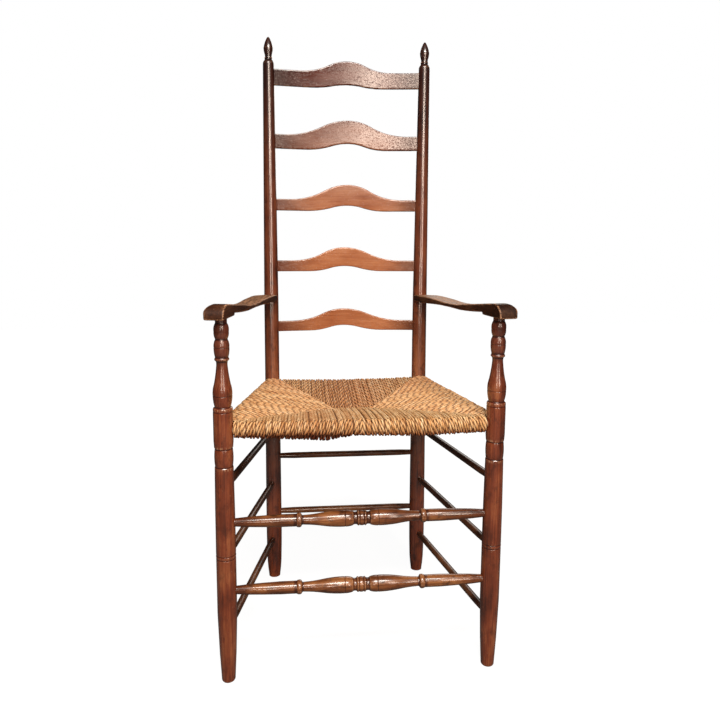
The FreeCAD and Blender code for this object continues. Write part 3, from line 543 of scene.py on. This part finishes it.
def rings_of(node, start, end):
    """The outline of a turned piece as distances along its axis and radii."""
    direction = (end - start) / np.linalg.norm(end - start)
    offset = points_of(node) - start
    along = offset @ direction
    radius = np.linalg.norm(offset - np.outer(along, direction), axis=1)
    cells = np.round(np.column_stack((along, radius)) / SAME_RING)
    cells, counts = np.unique(cells, axis=0, return_counts=True)
    rings = cells[counts >= RING_POINTS] * SAME_RING
    levels = np.unique(rings[:, 0])
    return np.array([(level, rings[rings[:, 0] == level, 1].max()) for level in levels])


def softened(rings):
    """The outline in even fine steps, with its small corners rounded."""
    distance = np.arange(rings[0, 0], rings[-1, 0], OUTLINE_STEP)
    radius = np.interp(distance, rings[:, 0], rings[:, 1])
    reach = np.arange(-4, 5) * OUTLINE_STEP
    weight = np.exp(-0.5 * (reach / SOFTENING) ** 2)
    padded = np.pad(radius, len(reach) // 2, mode="reflect", reflect_type="odd")
    return distance, np.convolve(padded, weight / weight.sum(), mode="valid")


def thinned(distance, radius):
    """Keep only the points that the outline needs."""
    keep = [0]
    for index in range(2, len(distance)):
        last = keep[-1]
        run = distance[index] - distance[last]
        between = slice(last + 1, index)
        share = (distance[between] - distance[last]) / run
        straight = radius[last] + share * (radius[index] - radius[last])
        if np.abs(radius[between] - straight).max() > OUTLINE_ERROR or run > LONGEST_STEP:
            keep.append(index - 1)
    keep.append(len(distance) - 1)
    return np.array(keep)


def proud_and_sunk(radius):
    """How far each part of the outline stands out, and how far it lies back, from 0 to 1."""
    span = 2 * AROUND + 1
    padded = np.pad(radius, AROUND, mode="edge")
    height = (radius - np.convolve(padded, np.ones(span) / span, mode="valid")) / FULLY_PROUD
    return np.clip(height, 0.0, 1.0), np.clip(-height, 0.0, 1.0)


left_post = rings_of("front_post_left", *post_axes["front_post_left"])
print("left front post:", len(left_post), "rings, radius", round(left_post[:, 1].max() * 1000, 2))

# %% [markdown]
# ## Posts
# Each front post is one turning from its foot to the tenon in the arm, and each rear post is
# one long turning that leans back and ends in a finial. Wood that old has moved: the right rear
# post leans out a little, and the slats follow it.

# %% Turn the posts
POST_SIDES, STRETCHER_SIDES = 56, 40
UNEVENNESS = 0.14 * MILLIMETRE      # no hand-turned piece is quite round
BEND_FROM, BEND_REACH, BEND = 0.55, 0.64, 4.2 * MILLIMETRE


def turned(name, start, end, finish, sides, seed):
    """Turn one piece of the frame again, finely, and put it where the frame has it."""
    rings = rings_of(name, start, end)
    distance, radius = softened(rings)
    wear, recess = proud_and_sunk(radius)
    keep = thinned(distance, radius)
    piece = grow(
        f"{name}_finished", [(0.0, 0.0, along) for along in distance[keep]],
        [(index, index + 1) for index in range(len(keep) - 1)],
        {"radius": radius[keep], "wear": wear[keep], "recess": recess[keep]}, lathe,
        {"Sides": sides, "Unevenness": UNEVENNESS, "Seed": seed, "Finish": finish})
    turn = Vector(end - start).normalized().to_track_quat("Z", "Y").to_matrix().to_4x4()
    piece.data.transform(Matrix.Translation(Vector(start)) @ turn)
    print(name, len(rings), "rings read,", len(keep), "kept,", len(piece.data.polygons), "faces")
    return piece


def bend(piece):
    """Lean the upper right of a piece out a little."""
    for vertex in piece.data.vertices:
        rise = max(0.0, (vertex.co.z - BEND_FROM) / BEND_REACH)
        share = share_between(vertex.co.x, 0.0, feet["foot_rear_right"][0])
        vertex.co.x += BEND * rise ** 1.3 * share


def settle(piece, slot, *nodes):
    """The piece stands for nodes of the frame, which it hides. The slot is not used."""
    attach(piece, "root")
    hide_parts(*nodes)


for number, (name, (start, end)) in enumerate(post_axes.items()):
    finish = post_wood if name.startswith("front") else rear_post_wood
    post = turned(name, start, end, finish, POST_SIDES, 1.3 + 2.7 * number)
    if name.startswith("rear"):
        bend(post)
    settle(post, "post_wood", name)

# %% [markdown]
# ## Stretchers
# The two front stretchers are turned with rings, collars and long swells, and the rungs at the
# sides and the back are plain. The same tree turns them all. Their ends are hidden in the
# posts, where round tenons sit in bored holes.

# %% Turn the stretchers
for number, name in enumerate(sorted(name for name in frame["nodes"] if "stretcher" in name)):
    start, end = axis_of(name)
    finish = side_stretcher_wood if name.startswith("side") else stretcher_wood
    rung = turned(name, start, end, finish, STRETCHER_SIDES, 20.0 + 1.7 * number)
    settle(rung, "stretcher_wood", name)

# %% [markdown]
# ## Slats and arms
# These are sawn and shaped by hand, so no lathe can make them. The frame's piece is cast again
# as an even skin of small squares, and the skin is relaxed a few times. Relaxing takes most
# from the sharp edges, which is just what wear does. A bevel would round every edge alike. How
# proud each point stands of its neighbours is kept as the wear.

# %% Worn copies of the shaped pieces
SKIN = 1.2 * MILLIMETRE
SAME_POINT = 0.002 * MILLIMETRE
WEAR_SPREAD = 3             # times that the wear is evened out with the points around
FULLY_WORN = 0.12


def cast_again(node):
    """A copy of one piece of the frame with an even skin of small squares."""
    name = f"{node}_finished"
    mesh = frame["nodes"][node].data.copy()
    work = bmesh.new()
    work.from_mesh(mesh)
    bmesh.ops.remove_doubles(work, verts=work.verts, dist=SAME_POINT)
    work.to_mesh(mesh)
    work.free()
    piece = add_object(name, mesh)
    cast = piece.modifiers.new("cast", "REMESH")
    cast.mode = "VOXEL"
    cast.voxel_size = SKIN
    fine = plain_mesh(piece)
    piece.modifiers.clear()
    piece.data = fine
    bpy.data.meshes.remove(mesh)
    fine.name = name
    return piece


def relax(mesh, times):
    """Relax a skin, and return how proud each point stands of its neighbours."""
    work = bmesh.new()
    work.from_mesh(mesh)
    for _ in range(times):
        bmesh.ops.smooth_vert(
            work, verts=work.verts, factor=0.5, use_axis_x=True, use_axis_y=True, use_axis_z=True)
    work.normal_update()
    around = [[edge.other_vert(vertex) for edge in vertex.link_edges] for vertex in work.verts]
    proud = []
    for vertex, others in zip(work.verts, around):
        lean = sum((other.co - vertex.co).normalized().dot(vertex.normal) for other in others)
        proud.append(max(0.0, -lean / max(1, len(others))))
    for _ in range(WEAR_SPREAD):
        proud = [0.5 * own + 0.5 * sum(proud[other.index] for other in others)
                 / max(1, len(others)) for own, others in zip(proud, around)]
    for face in work.faces:
        face.smooth = True
    work.to_mesh(mesh)
    work.free()
    return np.array(proud)


def worn_copy(node, finish, along, seed, times):
    """A copy with rounded edges, and with grain that runs along a direction."""
    piece = cast_again(node)
    proud = relax(piece.data, times)
    keep_values(piece.data, "wear", np.clip(proud / FULLY_WORN, 0.0, 1.0))
    third = along / np.linalg.norm(along)
    first = np.cross(UP, third)
    first /= np.linalg.norm(first)
    axes = np.array([first, np.cross(third, first), third])
    keep_values(piece.data, "grain", coordinates(piece.data) @ axes.T + seed, "FLOAT_VECTOR")
    piece.data.materials.clear()
    piece.data.materials.append(finish)
    print(node, len(piece.data.polygons), "faces, rubbed at", int((proud > 0.05).sum()))
    return piece


print("skin of squares", round(SKIN * 1000, 1), "mm wide")

# %% [markdown]
# The slats were sawn by eye, and no two have their crests in one line, so each crest is eased a
# few millimetres to one side. The arms' tops are painted paler, most towards the back: partly
# varnish rubbed off by forearms, partly a painted sheen where the tops catch the light.

# %% Shape the slats and the arms
CREST_HEIGHTS = (0.66, 0.78, 0.90, 1.02, 1.13)         # from the bottom slat to the top one
CREST_SHIFTS = (-5.0, -2.0, 5.0, 5.0, 3.0)             # millimetres to the right
CREST_REACH = 0.10
RIGHT_ARM_SHIFT = Vector((-0.002, 0.0, -0.0014))       # the right arm sits a little lower
ACROSS_X, ACROSS_Y = np.array([1.0, 0.0, 0.0]), np.array([0.0, 1.0, 0.0])
# the arms' tops are painted paler from front to back: rubbed wear and a painted sheen
PALE_TOP_STARTS, PALE_TOP_FULL, RUB_AND_SHEEN = -0.16, 0.0, 0.95        # from front to back along an arm


def shift_crest(slat):
    height = sum(vertex.co.z for vertex in slat.data.vertices) / len(slat.data.vertices)
    shift = float(np.interp(height, CREST_HEIGHTS, CREST_SHIFTS)) * MILLIMETRE
    for vertex in slat.data.vertices:
        if abs(vertex.co.x) < CREST_REACH:
            vertex.co.x += shift * math.cos(math.pi / 2 * vertex.co.x / CREST_REACH) ** 2
    print("slat at", round(height, 3), "m, crest", round(shift * 1000, 1), "mm over")


# faces that look up are painted paler: partly rubbed wear, partly a painted sheen
def rub_and_sheen_top(arm):
    wear = arm.data.attributes["wear"].data
    for vertex, value in zip(arm.data.vertices, wear):
        back = share_between(vertex.co.y, PALE_TOP_STARTS, PALE_TOP_FULL)
        up = share_between(vertex.normal.z, 0.80, 0.95)
        value.value = max(value.value, RUB_AND_SHEEN * back * up)


slats = sorted(name for name in frame["nodes"] if name.startswith("back_slat"))
for number, name in enumerate(slats):
    slat = worn_copy(name, slat_wood, ACROSS_X, 40.0 + 3.1 * number, 4)
    shift_crest(slat)
    bend(slat)
    settle(slat, "slat_wood", name)
for number, side in enumerate(SIDES):
    run = post_axes[f"rear_post_{side}"][0] - post_axes[f"front_post_{side}"][1]
    arm = worn_copy(
        f"arm_{side}", arm_wood, run * (ACROSS_X + ACROSS_Y), 60.0 + 5.3 * number, 6)
    rub_and_sheen_top(arm)
    if side == "right":
        arm.data.transform(Matrix.Translation(RIGHT_ARM_SHIFT))
    settle(arm, "arm_wood", f"arm_{side}")

# %% [markdown]
# ## The rush seat
# A rush seat is one long cord, twisted from wet leaves as it is wound. Each turn goes over a
# rail and under it, and dives between its neighbours where it meets the turns of the next
# rail. So the seat has four panels, and the dives draw seams from the corners to a short line
# in the middle. A pattern on a cushion would look flat at the edges, so every turn is really
# wound: each is a line of points, and one tree gives all of them thickness and twist.

# %% Seat rails and seams
CORD_DIAMETER = 5.9 * MILLIMETRE
CORD_PITCH = 5.5 * MILLIMETRE
SEAM_HALF = 40.0 * MILLIMETRE
SEAM_BEHIND = 182.0 * MILLIMETRE        # the middle seam, behind the front rail
SEAM_TOP, SEAM_UNDER = 0.4530, 0.4405   # heights of the seat's two faces at the middle seam
POST_RADIUS = {"front": left_post[:, 1].max(), "back": 16.5 * MILLIMETRE}


def box_of(node):
    """The lowest and the highest corner of one piece of the frame."""
    points = points_of(node)
    return points.min(axis=0), points.max(axis=0)


def on_axis(post, height):
    """The point of a post's axis at a height."""
    foot, top = post_axes[post]
    return foot + (height - foot[2]) / (top[2] - foot[2]) * (top - foot)


corners, side_rails = {}, {}
for place, post in (("front", "front_post"), ("back", "rear_post")):
    low, high = box_of(f"seat_rail_{place}")
    for side in SIDES:
        corners[place, side] = on_axis(f"{post}_{side}", (low[2] + high[2]) / 2)
RAIL_RADIUS = (high[2] - low[2]) / 2
for side in SIDES:
    low, _ = box_of(f"seat_rail_{side}")
    side_rails[side] = (
        corners["front", side], on_axis(f"rear_post_{side}", low[2] + RAIL_RADIUS))
front_y = corners["front", "left"][1]
back_y = corners["back", "left"][1]
seam_y = front_y + SEAM_BEHIND
print("rail radius", round(RAIL_RADIUS * 1000, 2), "mm, corners", len(corners))

# %% [markdown]
# A turn's line starts in the seam, rises to the top of the rail, goes round it, and comes back
# underneath. Only the plane it lies in changes from panel to panel, so one function draws a
# turn from its rail point, its seam point and how deep the seat is dished there. An old seat
# has gone slack: under the front, some turns hang down behind the rail.

# %% One turn of the cord
ROUND_STEPS = 9
STEP_LENGTH = 18.0 * MILLIMETRE
DIVE = 9.0 * MILLIMETRE                 # how far a turn drops into the seam
PANEL_FILL = 2.4 * MILLIMETRE           # how far the packing bulges a panel
FULL_RUN = 80.0 * MILLIMETRE            # shorter turns than this bulge less
TURN_RADIUS = RAIL_RADIUS + CORD_DIAMETER / 2
LIT_TO, DARK_FROM = math.radians(98.0), math.radians(160.0)     # where a turn grows dark below
SLACK_BEHIND, SLACK_REACH = 7.0 * MILLIMETRE, 24.0 * MILLIMETRE


def turn_line(rail, seam, dish, droop=0.0, hang=0.0, inset=0.0):
    """Points of one turn, from the seam over the rail and back below, and which lie below.

    Dish is 0 where the seam leaves the corner and 1 where it reaches the middle.
    """
    inward = np.array([seam[0] - rail[0], seam[1] - rail[1], 0.0])
    run = np.linalg.norm(inward)
    inward /= run
    radius = TURN_RADIUS - inset
    seam_high = SEAM_TOP - CORD_DIAMETER / 2 - inset - rail[2]
    seam_low = SEAM_UNDER + CORD_DIAMETER / 2 + inset - rail[2]
    top_fall = dish * (radius - seam_high)
    under_rise = dish * (radius + seam_low)
    steps = max(2, int(run / STEP_LENGTH))
    line = [rail + inward * run + UP * (radius - top_fall - DIVE)]
    below = [0.0] * (steps + 1)
    for share in np.linspace(1.0, 0.0, steps):
        fill = PANEL_FILL * math.sin(math.pi * share) * min(1.0, run / FULL_RUN)
        line.append(rail + inward * run * share + UP * (radius - top_fall * share + fill))
    for angle in np.linspace(0.0, math.pi, ROUND_STEPS)[1:-1]:
        sag = hang * math.sin(angle / 2) ** 4
        line.append(rail - inward * radius * math.sin(angle)
                    + UP * (radius * math.cos(angle) - sag))
        # how far round below the rail, for the underside's painted shade
        below.append(share_between(angle, LIT_TO, DARK_FROM))
    for share in np.linspace(0.0, 1.0, steps):
        sag = max(droop, hang) * math.exp(-((run * share - SLACK_BEHIND) / SLACK_REACH) ** 2)
        line.append(rail + inward * run * share + UP * (under_rise * share - radius - sag))
    line.append(rail + inward * run + UP * (under_rise - radius + DIVE / 2))
    return np.array(line), np.array(below + [1.0] * (steps + 1))


print("a turn goes round its rail at", round(TURN_RADIUS * 1000, 2), "mm")

# %% [markdown]
# The turns stand side by side along each rail. From a corner to the middle the seam's place
# follows a straight line, so the turns' lengths come out by themselves.

# %% All turns of the four panels
BACK_SAG = 2.5 * MILLIMETRE             # how far the back rail's turns sag at its middle
SLACK_PLACES = (-0.22, -0.166, -0.10, -0.064, -0.04, -0.01, 0.05)    # along the front rail
SLACK_DEPTHS = (2.0, 5.0, 9.0, 12.0, 7.0, 2.0, 0.0)                  # millimetres
ROLL_PLACES = (-0.22, -0.166, -0.064, 0.04, 0.083, 0.13, 0.165, 0.22)
ROLL_DEPTHS = (0.0, 0.5, 1.5, 4.0, 5.5, 5.5, 4.0, 2.0)


def slack_at(place, at):
    """How far the loose turns hang under the front, behind the rail and at the rail."""
    if place != "front":
        return 0.0, 0.0
    return (float(np.interp(at, SLACK_PLACES, SLACK_DEPTHS)) * MILLIMETRE,
            float(np.interp(at, ROLL_PLACES, ROLL_DEPTHS)) * MILLIMETRE)


def side_by_side(first, last):
    return np.linspace(first, last, int(round((last - first) / CORD_PITCH)) + 1)


def end_rail_turns(place):
    """Turns round the front or the back rail, from left to right."""
    corner = corners[place, "right"]
    half = corner[0] - POST_RADIUS[place] - CORD_DIAMETER / 2
    for x in side_by_side(-half, half):
        dish = min(1.0, (corner[0] - abs(x)) / (corner[0] - SEAM_HALF))
        sag = BACK_SAG * (1.0 - (x / half) ** 2) if place == "back" else 0.0
        rail = np.array([x, corner[1], corner[2] - sag])
        yield rail, np.array([x, corner[1] + dish * (seam_y - corner[1]), 0.0]), dish, x


def side_rail_turns(side):
    """Turns round a side rail, from front to back."""
    front, back = side_rails[side]
    first = front_y + POST_RADIUS["front"] + CORD_DIAMETER / 2
    last = back_y - POST_RADIUS["back"] - CORD_DIAMETER / 2
    for y in side_by_side(first, last):
        rail = front + (y - front[1]) / (back[1] - front[1]) * (back - front)
        place, end = ("front", front_y) if y < seam_y else ("back", back_y)
        dish = (y - end) / (seam_y - end)
        corner_x = corners[place, side][0]
        seam_x = corner_x + dish * (math.copysign(SEAM_HALF, corner_x) - corner_x)
        yield rail, np.array([seam_x, y, 0.0]), dish, y


panels = {place: list(end_rail_turns(place)) for place in ("front", "back")}
panels.update((side, list(side_rail_turns(side))) for side in SIDES)
print("turns:", {place: len(turns) for place, turns in panels.items()})

# %% [markdown]
# ## The cord
# Two leaves are twisted into one cord, so its section is a circle with a crease on each side
# that turns as it goes along. In the tree the line is made smooth and even, tilted by the
# twist, and swept with that section. The places along the cord and across the crease are kept
# for the finish.

# %% The cord as a tree of nodes
CORD_SIDES = 9
CORD_STEP = 2.3 * MILLIMETRE
CREASE = 0.6                        # depth of the crease, as a share of the radius
CORD_ROUGHNESS = 0.5 * MILLIMETRE


def creased_section(graph, given):
    circle = graph.out("GeometryNodeCurvePrimitiveCircle", {
        "Resolution": given["Sides"], "Radius": 1.0})
    spot = graph.out("GeometryNodeInputPosition")
    sideways = graph.maths("ABSOLUTE", graph.out("ShaderNodeSeparateXYZ", {0: spot}))
    shrink = graph.maths("SUBTRACT", 1.0, graph.maths(
        "MULTIPLY", graph.maths("SUBTRACT", 1.0, sideways), given["Crease"]))
    return graph.out("GeometryNodeSetPosition", {
        "Geometry": store_value(graph, circle, "fold", sideways),
        "Position": graph.scaled(spot, shrink)})


def cord_tree():
    tree, graph, given = new_tree("rush_cord", {
        "Diameter": "Float", "Step": "Float", "Lay": "Float", "Sides": "Int",
        "Crease": "Float", "Roughness": "Float", "Finish": "Material"})
    curve = graph.out("GeometryNodeMeshToCurve", {"Mesh": given["Geometry"]})
    curve = graph.out(
        "GeometryNodeCurveSplineType", {"Curve": curve}, spline_type="CATMULL_ROM")
    even = graph.add("GeometryNodeResampleCurve", {"Curve": curve}, mode="LENGTH")
    graph.feed(next(socket for socket in even.inputs if socket.identifier == "Length"),
               given["Step"])
    length = graph.add("GeometryNodeSplineParameter").outputs["Length"]
    turns = graph.maths(
        "MULTIPLY", graph.maths("DIVIDE", length, given["Lay"]), drawn_value(graph, "hand"))
    turns = graph.maths("ADD", turns, drawn_value(graph, "twist"))
    curve = graph.out("GeometryNodeSetCurveTilt", {
        "Curve": even.outputs["Curve"], "Tilt": graph.maths("MULTIPLY", turns, math.tau)})
    radius = graph.maths("MULTIPLY", drawn_value(graph, "thickness"),
                         graph.maths("MULTIPLY", given["Diameter"], 0.5))
    curve = graph.out("GeometryNodeSetCurveRadius", {
        "Curve": store_value(graph, curve, "along", length), "Radius": radius})
    mesh = graph.out("GeometryNodeCurveToMesh", {
        "Curve": curve, "Profile Curve": creased_section(graph, given),
        "Scale": graph.out("GeometryNodeInputRadius"), "Fill Caps": True})
    rough = graph.noise(graph.out("GeometryNodeInputPosition"), (330.0, 330.0, 330.0))
    end_tree(graph, given, mesh, rough, given["Roughness"])
    return tree


cords = cord_tree()
print("cord tree:", len(cords.nodes), "nodes")

# %% [markdown]
# ## Rush finish
# Dry rush is golden, but no two leaves match: some are browner, some still grey-green. Each
# turn carries its own tint, and fine streaks follow the twist along it. The creases are painted
# darker as painted shade, and the underside is painted darker as painted shade with dirt. Years
# of sitting have dirtied the panels unevenly.

# %% Rush finish
RUSH_TONES = ((0.34, (0.28, 0.10, 0.030)), (0.45, (0.61, 0.305, 0.107)),
              (0.55, (0.78, 0.485, 0.222)), (0.66, (0.92, 0.70, 0.42)))
CREASE_SHADE_TONE, SHADE_TONE, UNDER_SHADE_AND_DIRT_TONE = (0.12, 0.05, 0.03), (0.74, 0.46, 0.38), (0.24, 0.12, 0.10)


def rush_finish():
    material, graph, surface = new_material("rush")
    tint, shade, fold = (kept_value(graph, name) for name in ("tint", "shade", "fold"))
    spot = graph.out("ShaderNodeCombineXYZ", {0: fold, 1: kept_value(graph, "along"), 2: tint})
    fibres = graph.noise(spot, (9.0, 60.0, 90.0), 4.0, 0.65)
    leaves = graph.noise(spot, (1.0, 38.0, 60.0))
    level = graph.maths("MULTIPLY_ADD", fibres, 0.60, graph.maths("MULTIPLY", leaves, 0.35))
    level = graph.maths("MULTIPLY_ADD", tint, 0.10, level)
    colour = graph.colours(level, RUSH_TONES)
    # the cord's creases are painted darker: painted shade
    crease = graph.maths("SUBTRACT", 1.0, graph.ramp(fold, 0.12, 0.75))
    # below the rail the turns are painted darker still: painted shade with dirt
    under_shade_and_dirt = graph.maths("SUBTRACT", shade, 1.0, clamp=True)
    for share, tone in ((crease, CREASE_SHADE_TONE), (shade, SHADE_TONE), (under_shade_and_dirt, UNDER_SHADE_AND_DIRT_TONE)):
        colour = graph.mix(share, colour, tone, "MULTIPLY")
    graph.feed(surface.inputs["Base Color"], colour)
    graph.feed(surface.inputs["Roughness"], graph.maths("MULTIPLY_ADD", fibres, 0.25, 0.45))
    add_bump(graph, surface, fibres, 0.6, 0.4 * MILLIMETRE)
    return material


rush = rush_finish()
print("rush finish:", len(rush.node_tree.nodes), "nodes")

# %% [markdown]
# Winding is never even, so each turn is a little too far over, too thick or too slack, and
# slowly wanders. Neighbours lie nearly in step, which gives the panels their slanting weave.
# The seed is fixed: the seat is the same every time it is wound.

# %% Wind the four panels
LAY_AND_WANDER = {                  # length of one full twist, and how far a turn wanders
    "front": (27.0 * MILLIMETRE, 1.1 * MILLIMETRE), "back": (40.0 * MILLIMETRE, 1.1 * MILLIMETRE),
    "left": (28.0 * MILLIMETRE, 0.9 * MILLIMETRE), "right": (28.0 * MILLIMETRE, 0.9 * MILLIMETRE)}
DRIFT = 0.45                        # spread of a turn's steps aside, as a share of the wander
LIFT = 0.25 * MILLIMETRE
THINNEST, THICKEST = 0.93, 1.12
IN_STEP = 0.18                      # how far the twist moves on from one turn to the next
OUT_OF_STEP = 0.13
# the underside is painted darker: painted shade, with dirt
UNDER_SHADE = 1.6                   # how much darker and dirtier the underside is
wound = np.random.default_rng(7)


def panel_shade(place, at):
    """How much darker the rush has gone: most at the middle of the back and left of front."""
    if place == "back":
        return 0.45 * math.exp(-(at / 0.11) ** 2) + 0.1
    if place == "front":
        return 0.3 * math.exp(-((at + 0.08) / 0.09) ** 2)
    return 0.22 + 0.4 * share_between(at, 0.02, 0.18)


def wind(place, turns, sideways):
    """One panel of the seat. Sideways is the direction from one turn to the next."""
    lay, wander = LAY_AND_WANDER[place]
    points, edges = [], []
    values = {"twist": [], "hand": [], "thickness": [], "tint": [], "shade": []}
    for number, (rail, seam, dish, at) in enumerate(turns):
        droop, hang = slack_at(place, at)
        line, below = turn_line(rail, seam, dish, droop * wound.uniform(0.95, 1.05), hang)
        count = len(line)
        drift = np.cumsum(wound.normal(0.0, DRIFT, count))
        drift -= np.linspace(drift[0], drift[-1], count)
        offset = wander * (np.tanh(drift) * 0.8 + wound.normal(0.0, DRIFT))
        line += np.outer(offset, sideways)
        line[:, 2] += wound.normal(0.0, LIFT)
        first = len(points)
        points += list(line)
        edges += [(first + index, first + index + 1) for index in range(count - 1)]
        # The twist is counted from the rail, so that neighbours lie nearly in step
        hand = math.copysign(1.0, -rail[0])
        inner = np.linalg.norm((rail - seam)[:2])
        twist = hand * (number * IN_STEP - inner / lay) + wound.normal(0.0, OUT_OF_STEP)
        values["twist"] += [twist] * count
        values["hand"] += [hand] * count
        swell = 0.05 * np.sin(np.linspace(0, 9, count) + at * 900)
        values["thickness"] += list(wound.uniform(THINNEST, THICKEST) + swell)
        values["tint"] += [wound.uniform()] * count
        values["shade"] += list(panel_shade(place, at) + UNDER_SHADE * below)
    piece = grow(
        f"rush_panel_{place}", points, edges, values, cords,
        {"Diameter": CORD_DIAMETER, "Step": CORD_STEP, "Lay": lay,
         "Sides": CORD_SIDES, "Crease": CREASE, "Roughness": CORD_ROUGHNESS, "Finish": rush})
    print(place, "panel:", len(turns), "turns,", len(piece.data.polygons), "faces")
    return piece


for place, turns in panels.items():
    panel = wind(place, turns, ACROSS_Y if place in SIDES else ACROSS_X)
    settle(panel, "rush", "rush_seat")

# %% [markdown]
# ## Packing
# Under the cord the maker stuffs broken rush, which keeps the seat full and stops light from
# showing through. Only its surface can be seen, deep in the gaps, so it is a skin drawn
# through the same turns a little nearer to the rails.

# %% Packing
PACKING_INSET = 0.3 * MILLIMETRE
SKIN_POINTS = 30


def packing_finish():
    material, graph, surface = new_material("rush_packing")
    broken = graph.noise(object_place(graph), (380.0, 380.0, 380.0), 4.0, 0.7)
    graph.feed(surface.inputs["Base Color"], graph.mix(
        graph.ramp(broken, 0.35, 0.7), (0.10, 0.035, 0.015), (0.30, 0.14, 0.055)))
    surface.inputs["Roughness"].default_value = 0.9
    return material


def even_line(line):
    """A line redrawn with a fixed number of evenly spaced points."""
    length = np.insert(np.cumsum(np.linalg.norm(np.diff(line, axis=0), axis=1)), 0, 0.0)
    wanted = np.linspace(0.0, length[-1], SKIN_POINTS)
    return np.column_stack([np.interp(wanted, length, line[:, axis]) for axis in range(3)])


points, faces = [], []
for place, turns in panels.items():
    first = len(points)
    for rail, seam, dish, at in turns:
        line, _ = turn_line(rail, seam, dish, *slack_at(place, at), PACKING_INSET)
        points += [tuple(point) for point in even_line(line)]
    for row in range(len(turns) - 1):
        for column in range(SKIN_POINTS - 1):
            corner = first + row * SKIN_POINTS + column
            faces.append((corner, corner + 1, corner + SKIN_POINTS + 1, corner + SKIN_POINTS))
skin = bpy.data.meshes.new("rush_packing")
skin.from_pydata(points, [], faces)
skin.materials.append(packing_finish())
settle(add_object("rush_packing", skin), "rush", "rush_seat")
print("packing:", len(faces), "faces")

# %% [markdown]
# ## Hidden rails
# The rails stay as the frame has them. Only their ends can be glimpsed beside the posts, so a
# plain unvarnished wood on object coordinates is enough.


# %% Rail finish
def rail_finish():
    material, graph, surface = new_material("rail_wood")
    streaks = graph.noise(object_place(graph), (60.0, 60.0, 400.0), 4.0, 0.6)
    graph.feed(surface.inputs["Base Color"], graph.mix(
        graph.ramp(streaks, 0.35, 0.65), (0.24, 0.13, 0.07), (0.40, 0.25, 0.14)))
    surface.inputs["Roughness"].default_value = 0.7
    return material


rail_wood = rail_finish()
for place in panels:
    rail = frame["nodes"][f"seat_rail_{place}"]
    rail.data.materials.clear()
    rail.data.materials.append(rail_wood)
print("rails finished:", len(panels))

# %% [markdown]
# ## Studio
# The photograph's background is white, and the chair is lit from the front and above. The
# floor takes a soft shadow. To the camera the backdrop is white, but it lights the chair only
# as much as a dim room would, so the polished posts keep their dark sides.

# %% Floor and backdrop
FLOOR_HALF = 4.0
FLOOR_GREY = (0.13, 0.13, 0.13)
WHITE = (1.0, 1.0, 1.0)
ROOM_LIGHT = 0.04           # what the room gives to matt surfaces
ROOM_REFLECTED = 0.03       # and what polished wood mirrors of it
SHADOWED = 0.95             # how white the floor stays in the chair's shadow


def add_floor():
    mesh = bpy.data.meshes.new("floor")
    square = ((-1, -1), (1, -1), (1, 1), (-1, 1))
    mesh.from_pydata([(x * FLOOR_HALF, y * FLOOR_HALF, 0.0) for x, y in square],
                     [], [(0, 1, 2, 3)])
    material, graph, surface = new_material("floor")
    nodes = material.node_tree.nodes
    nodes.remove(surface)
    seen = graph.add("ShaderNodeLightPath").outputs["Is Camera Ray"]
    lit = graph.out("ShaderNodeBsdfDiffuse", {"Color": FLOOR_GREY})
    far = graph.ramp(graph.vector("LENGTH", object_place(graph)), 0.4, 1.3)
    white = graph.maths("MULTIPLY_ADD", far, 1.0 - SHADOWED, SHADOWED)
    glow = graph.out("ShaderNodeEmission", {
        "Color": WHITE, "Strength": graph.maths("MULTIPLY", seen, white)})
    graph.feed(nodes["Material Output"].inputs["Surface"],
               graph.out("ShaderNodeAddShader", {0: lit, 1: glow}))
    mesh.materials.append(material)
    add_object("floor", mesh)


def add_room():
    world = bpy.data.worlds.new("room")
    scene.world = world
    world.use_nodes = True
    graph = Graph(world.node_tree)
    ray = graph.add("ShaderNodeLightPath").outputs
    strength = graph.maths(
        "MULTIPLY_ADD", ray["Is Glossy Ray"], ROOM_REFLECTED - ROOM_LIGHT, ROOM_LIGHT)
    background = world.node_tree.nodes["Background"].inputs
    graph.feed(background["Color"], WHITE)
    graph.feed(background["Strength"], graph.maths("MAXIMUM", strength, ray["Is Camera Ray"]))


add_floor()
add_room()
scene.view_settings.view_transform = "Standard"
print("floor", 2 * FLOOR_HALF, "m square")

# %% [markdown]
# The lamps are soft boxes behind the camera. Two high ones give the slats their shine, strips at
# both sides draw the long highlights on the posts, and one above lights the seat and the arms.
# A weak one behind the chair keeps its back from going black.

# %% Lamps
WARM, PALE = (1.0, 0.80, 0.66), (1.0, 0.93, 0.85)
LAMPS = (                   # place, aim, width, height, watts, colour
    ("key", (0.01, -2.3, 1.74), (0.0, 0.0, 0.75), 0.31, 0.72, 12.0, WARM),
    ("low key", (0.22, -2.3, 1.48), (0.0, 0.0, 0.75), 0.13, 0.30, 1.4, WARM),
    ("top", (0.1, -1.7, 2.6), (0.0, 0.0, 0.4), 1.4, 0.4, 76.0, PALE),
    ("right strip", (0.87, -2.3, 1.3), (0.0, 0.0, 0.75), 0.20, 1.4, 15.0, WARM),
    ("left strip", (-0.40, -2.3, 0.78), (0.0, 0.0, 0.65), 0.16, 0.45, 4.6, WARM),
    ("back", (0.7, 2.4, 1.6), (0.0, 0.0, 0.6), 1.2, 1.2, 12.0, PALE),
)
for name, place, aim, width, height, power, colour in LAMPS:
    data = bpy.data.lights.new(name, "AREA")
    data.shape = "RECTANGLE"
    data.size, data.size_y = width, height
    data.energy, data.color = power, colour
    lamp = add_object(name, data)
    lamp.location = place
    lamp.rotation_mode = "QUATERNION"
    lamp.rotation_quaternion = (Vector(aim) - Vector(place)).to_track_quat("-Z", "Y")
print(len(LAMPS), "lamps,", round(sum(lamp[5] for lamp in LAMPS), 1), "W")

# %% [markdown]
# ## Finish
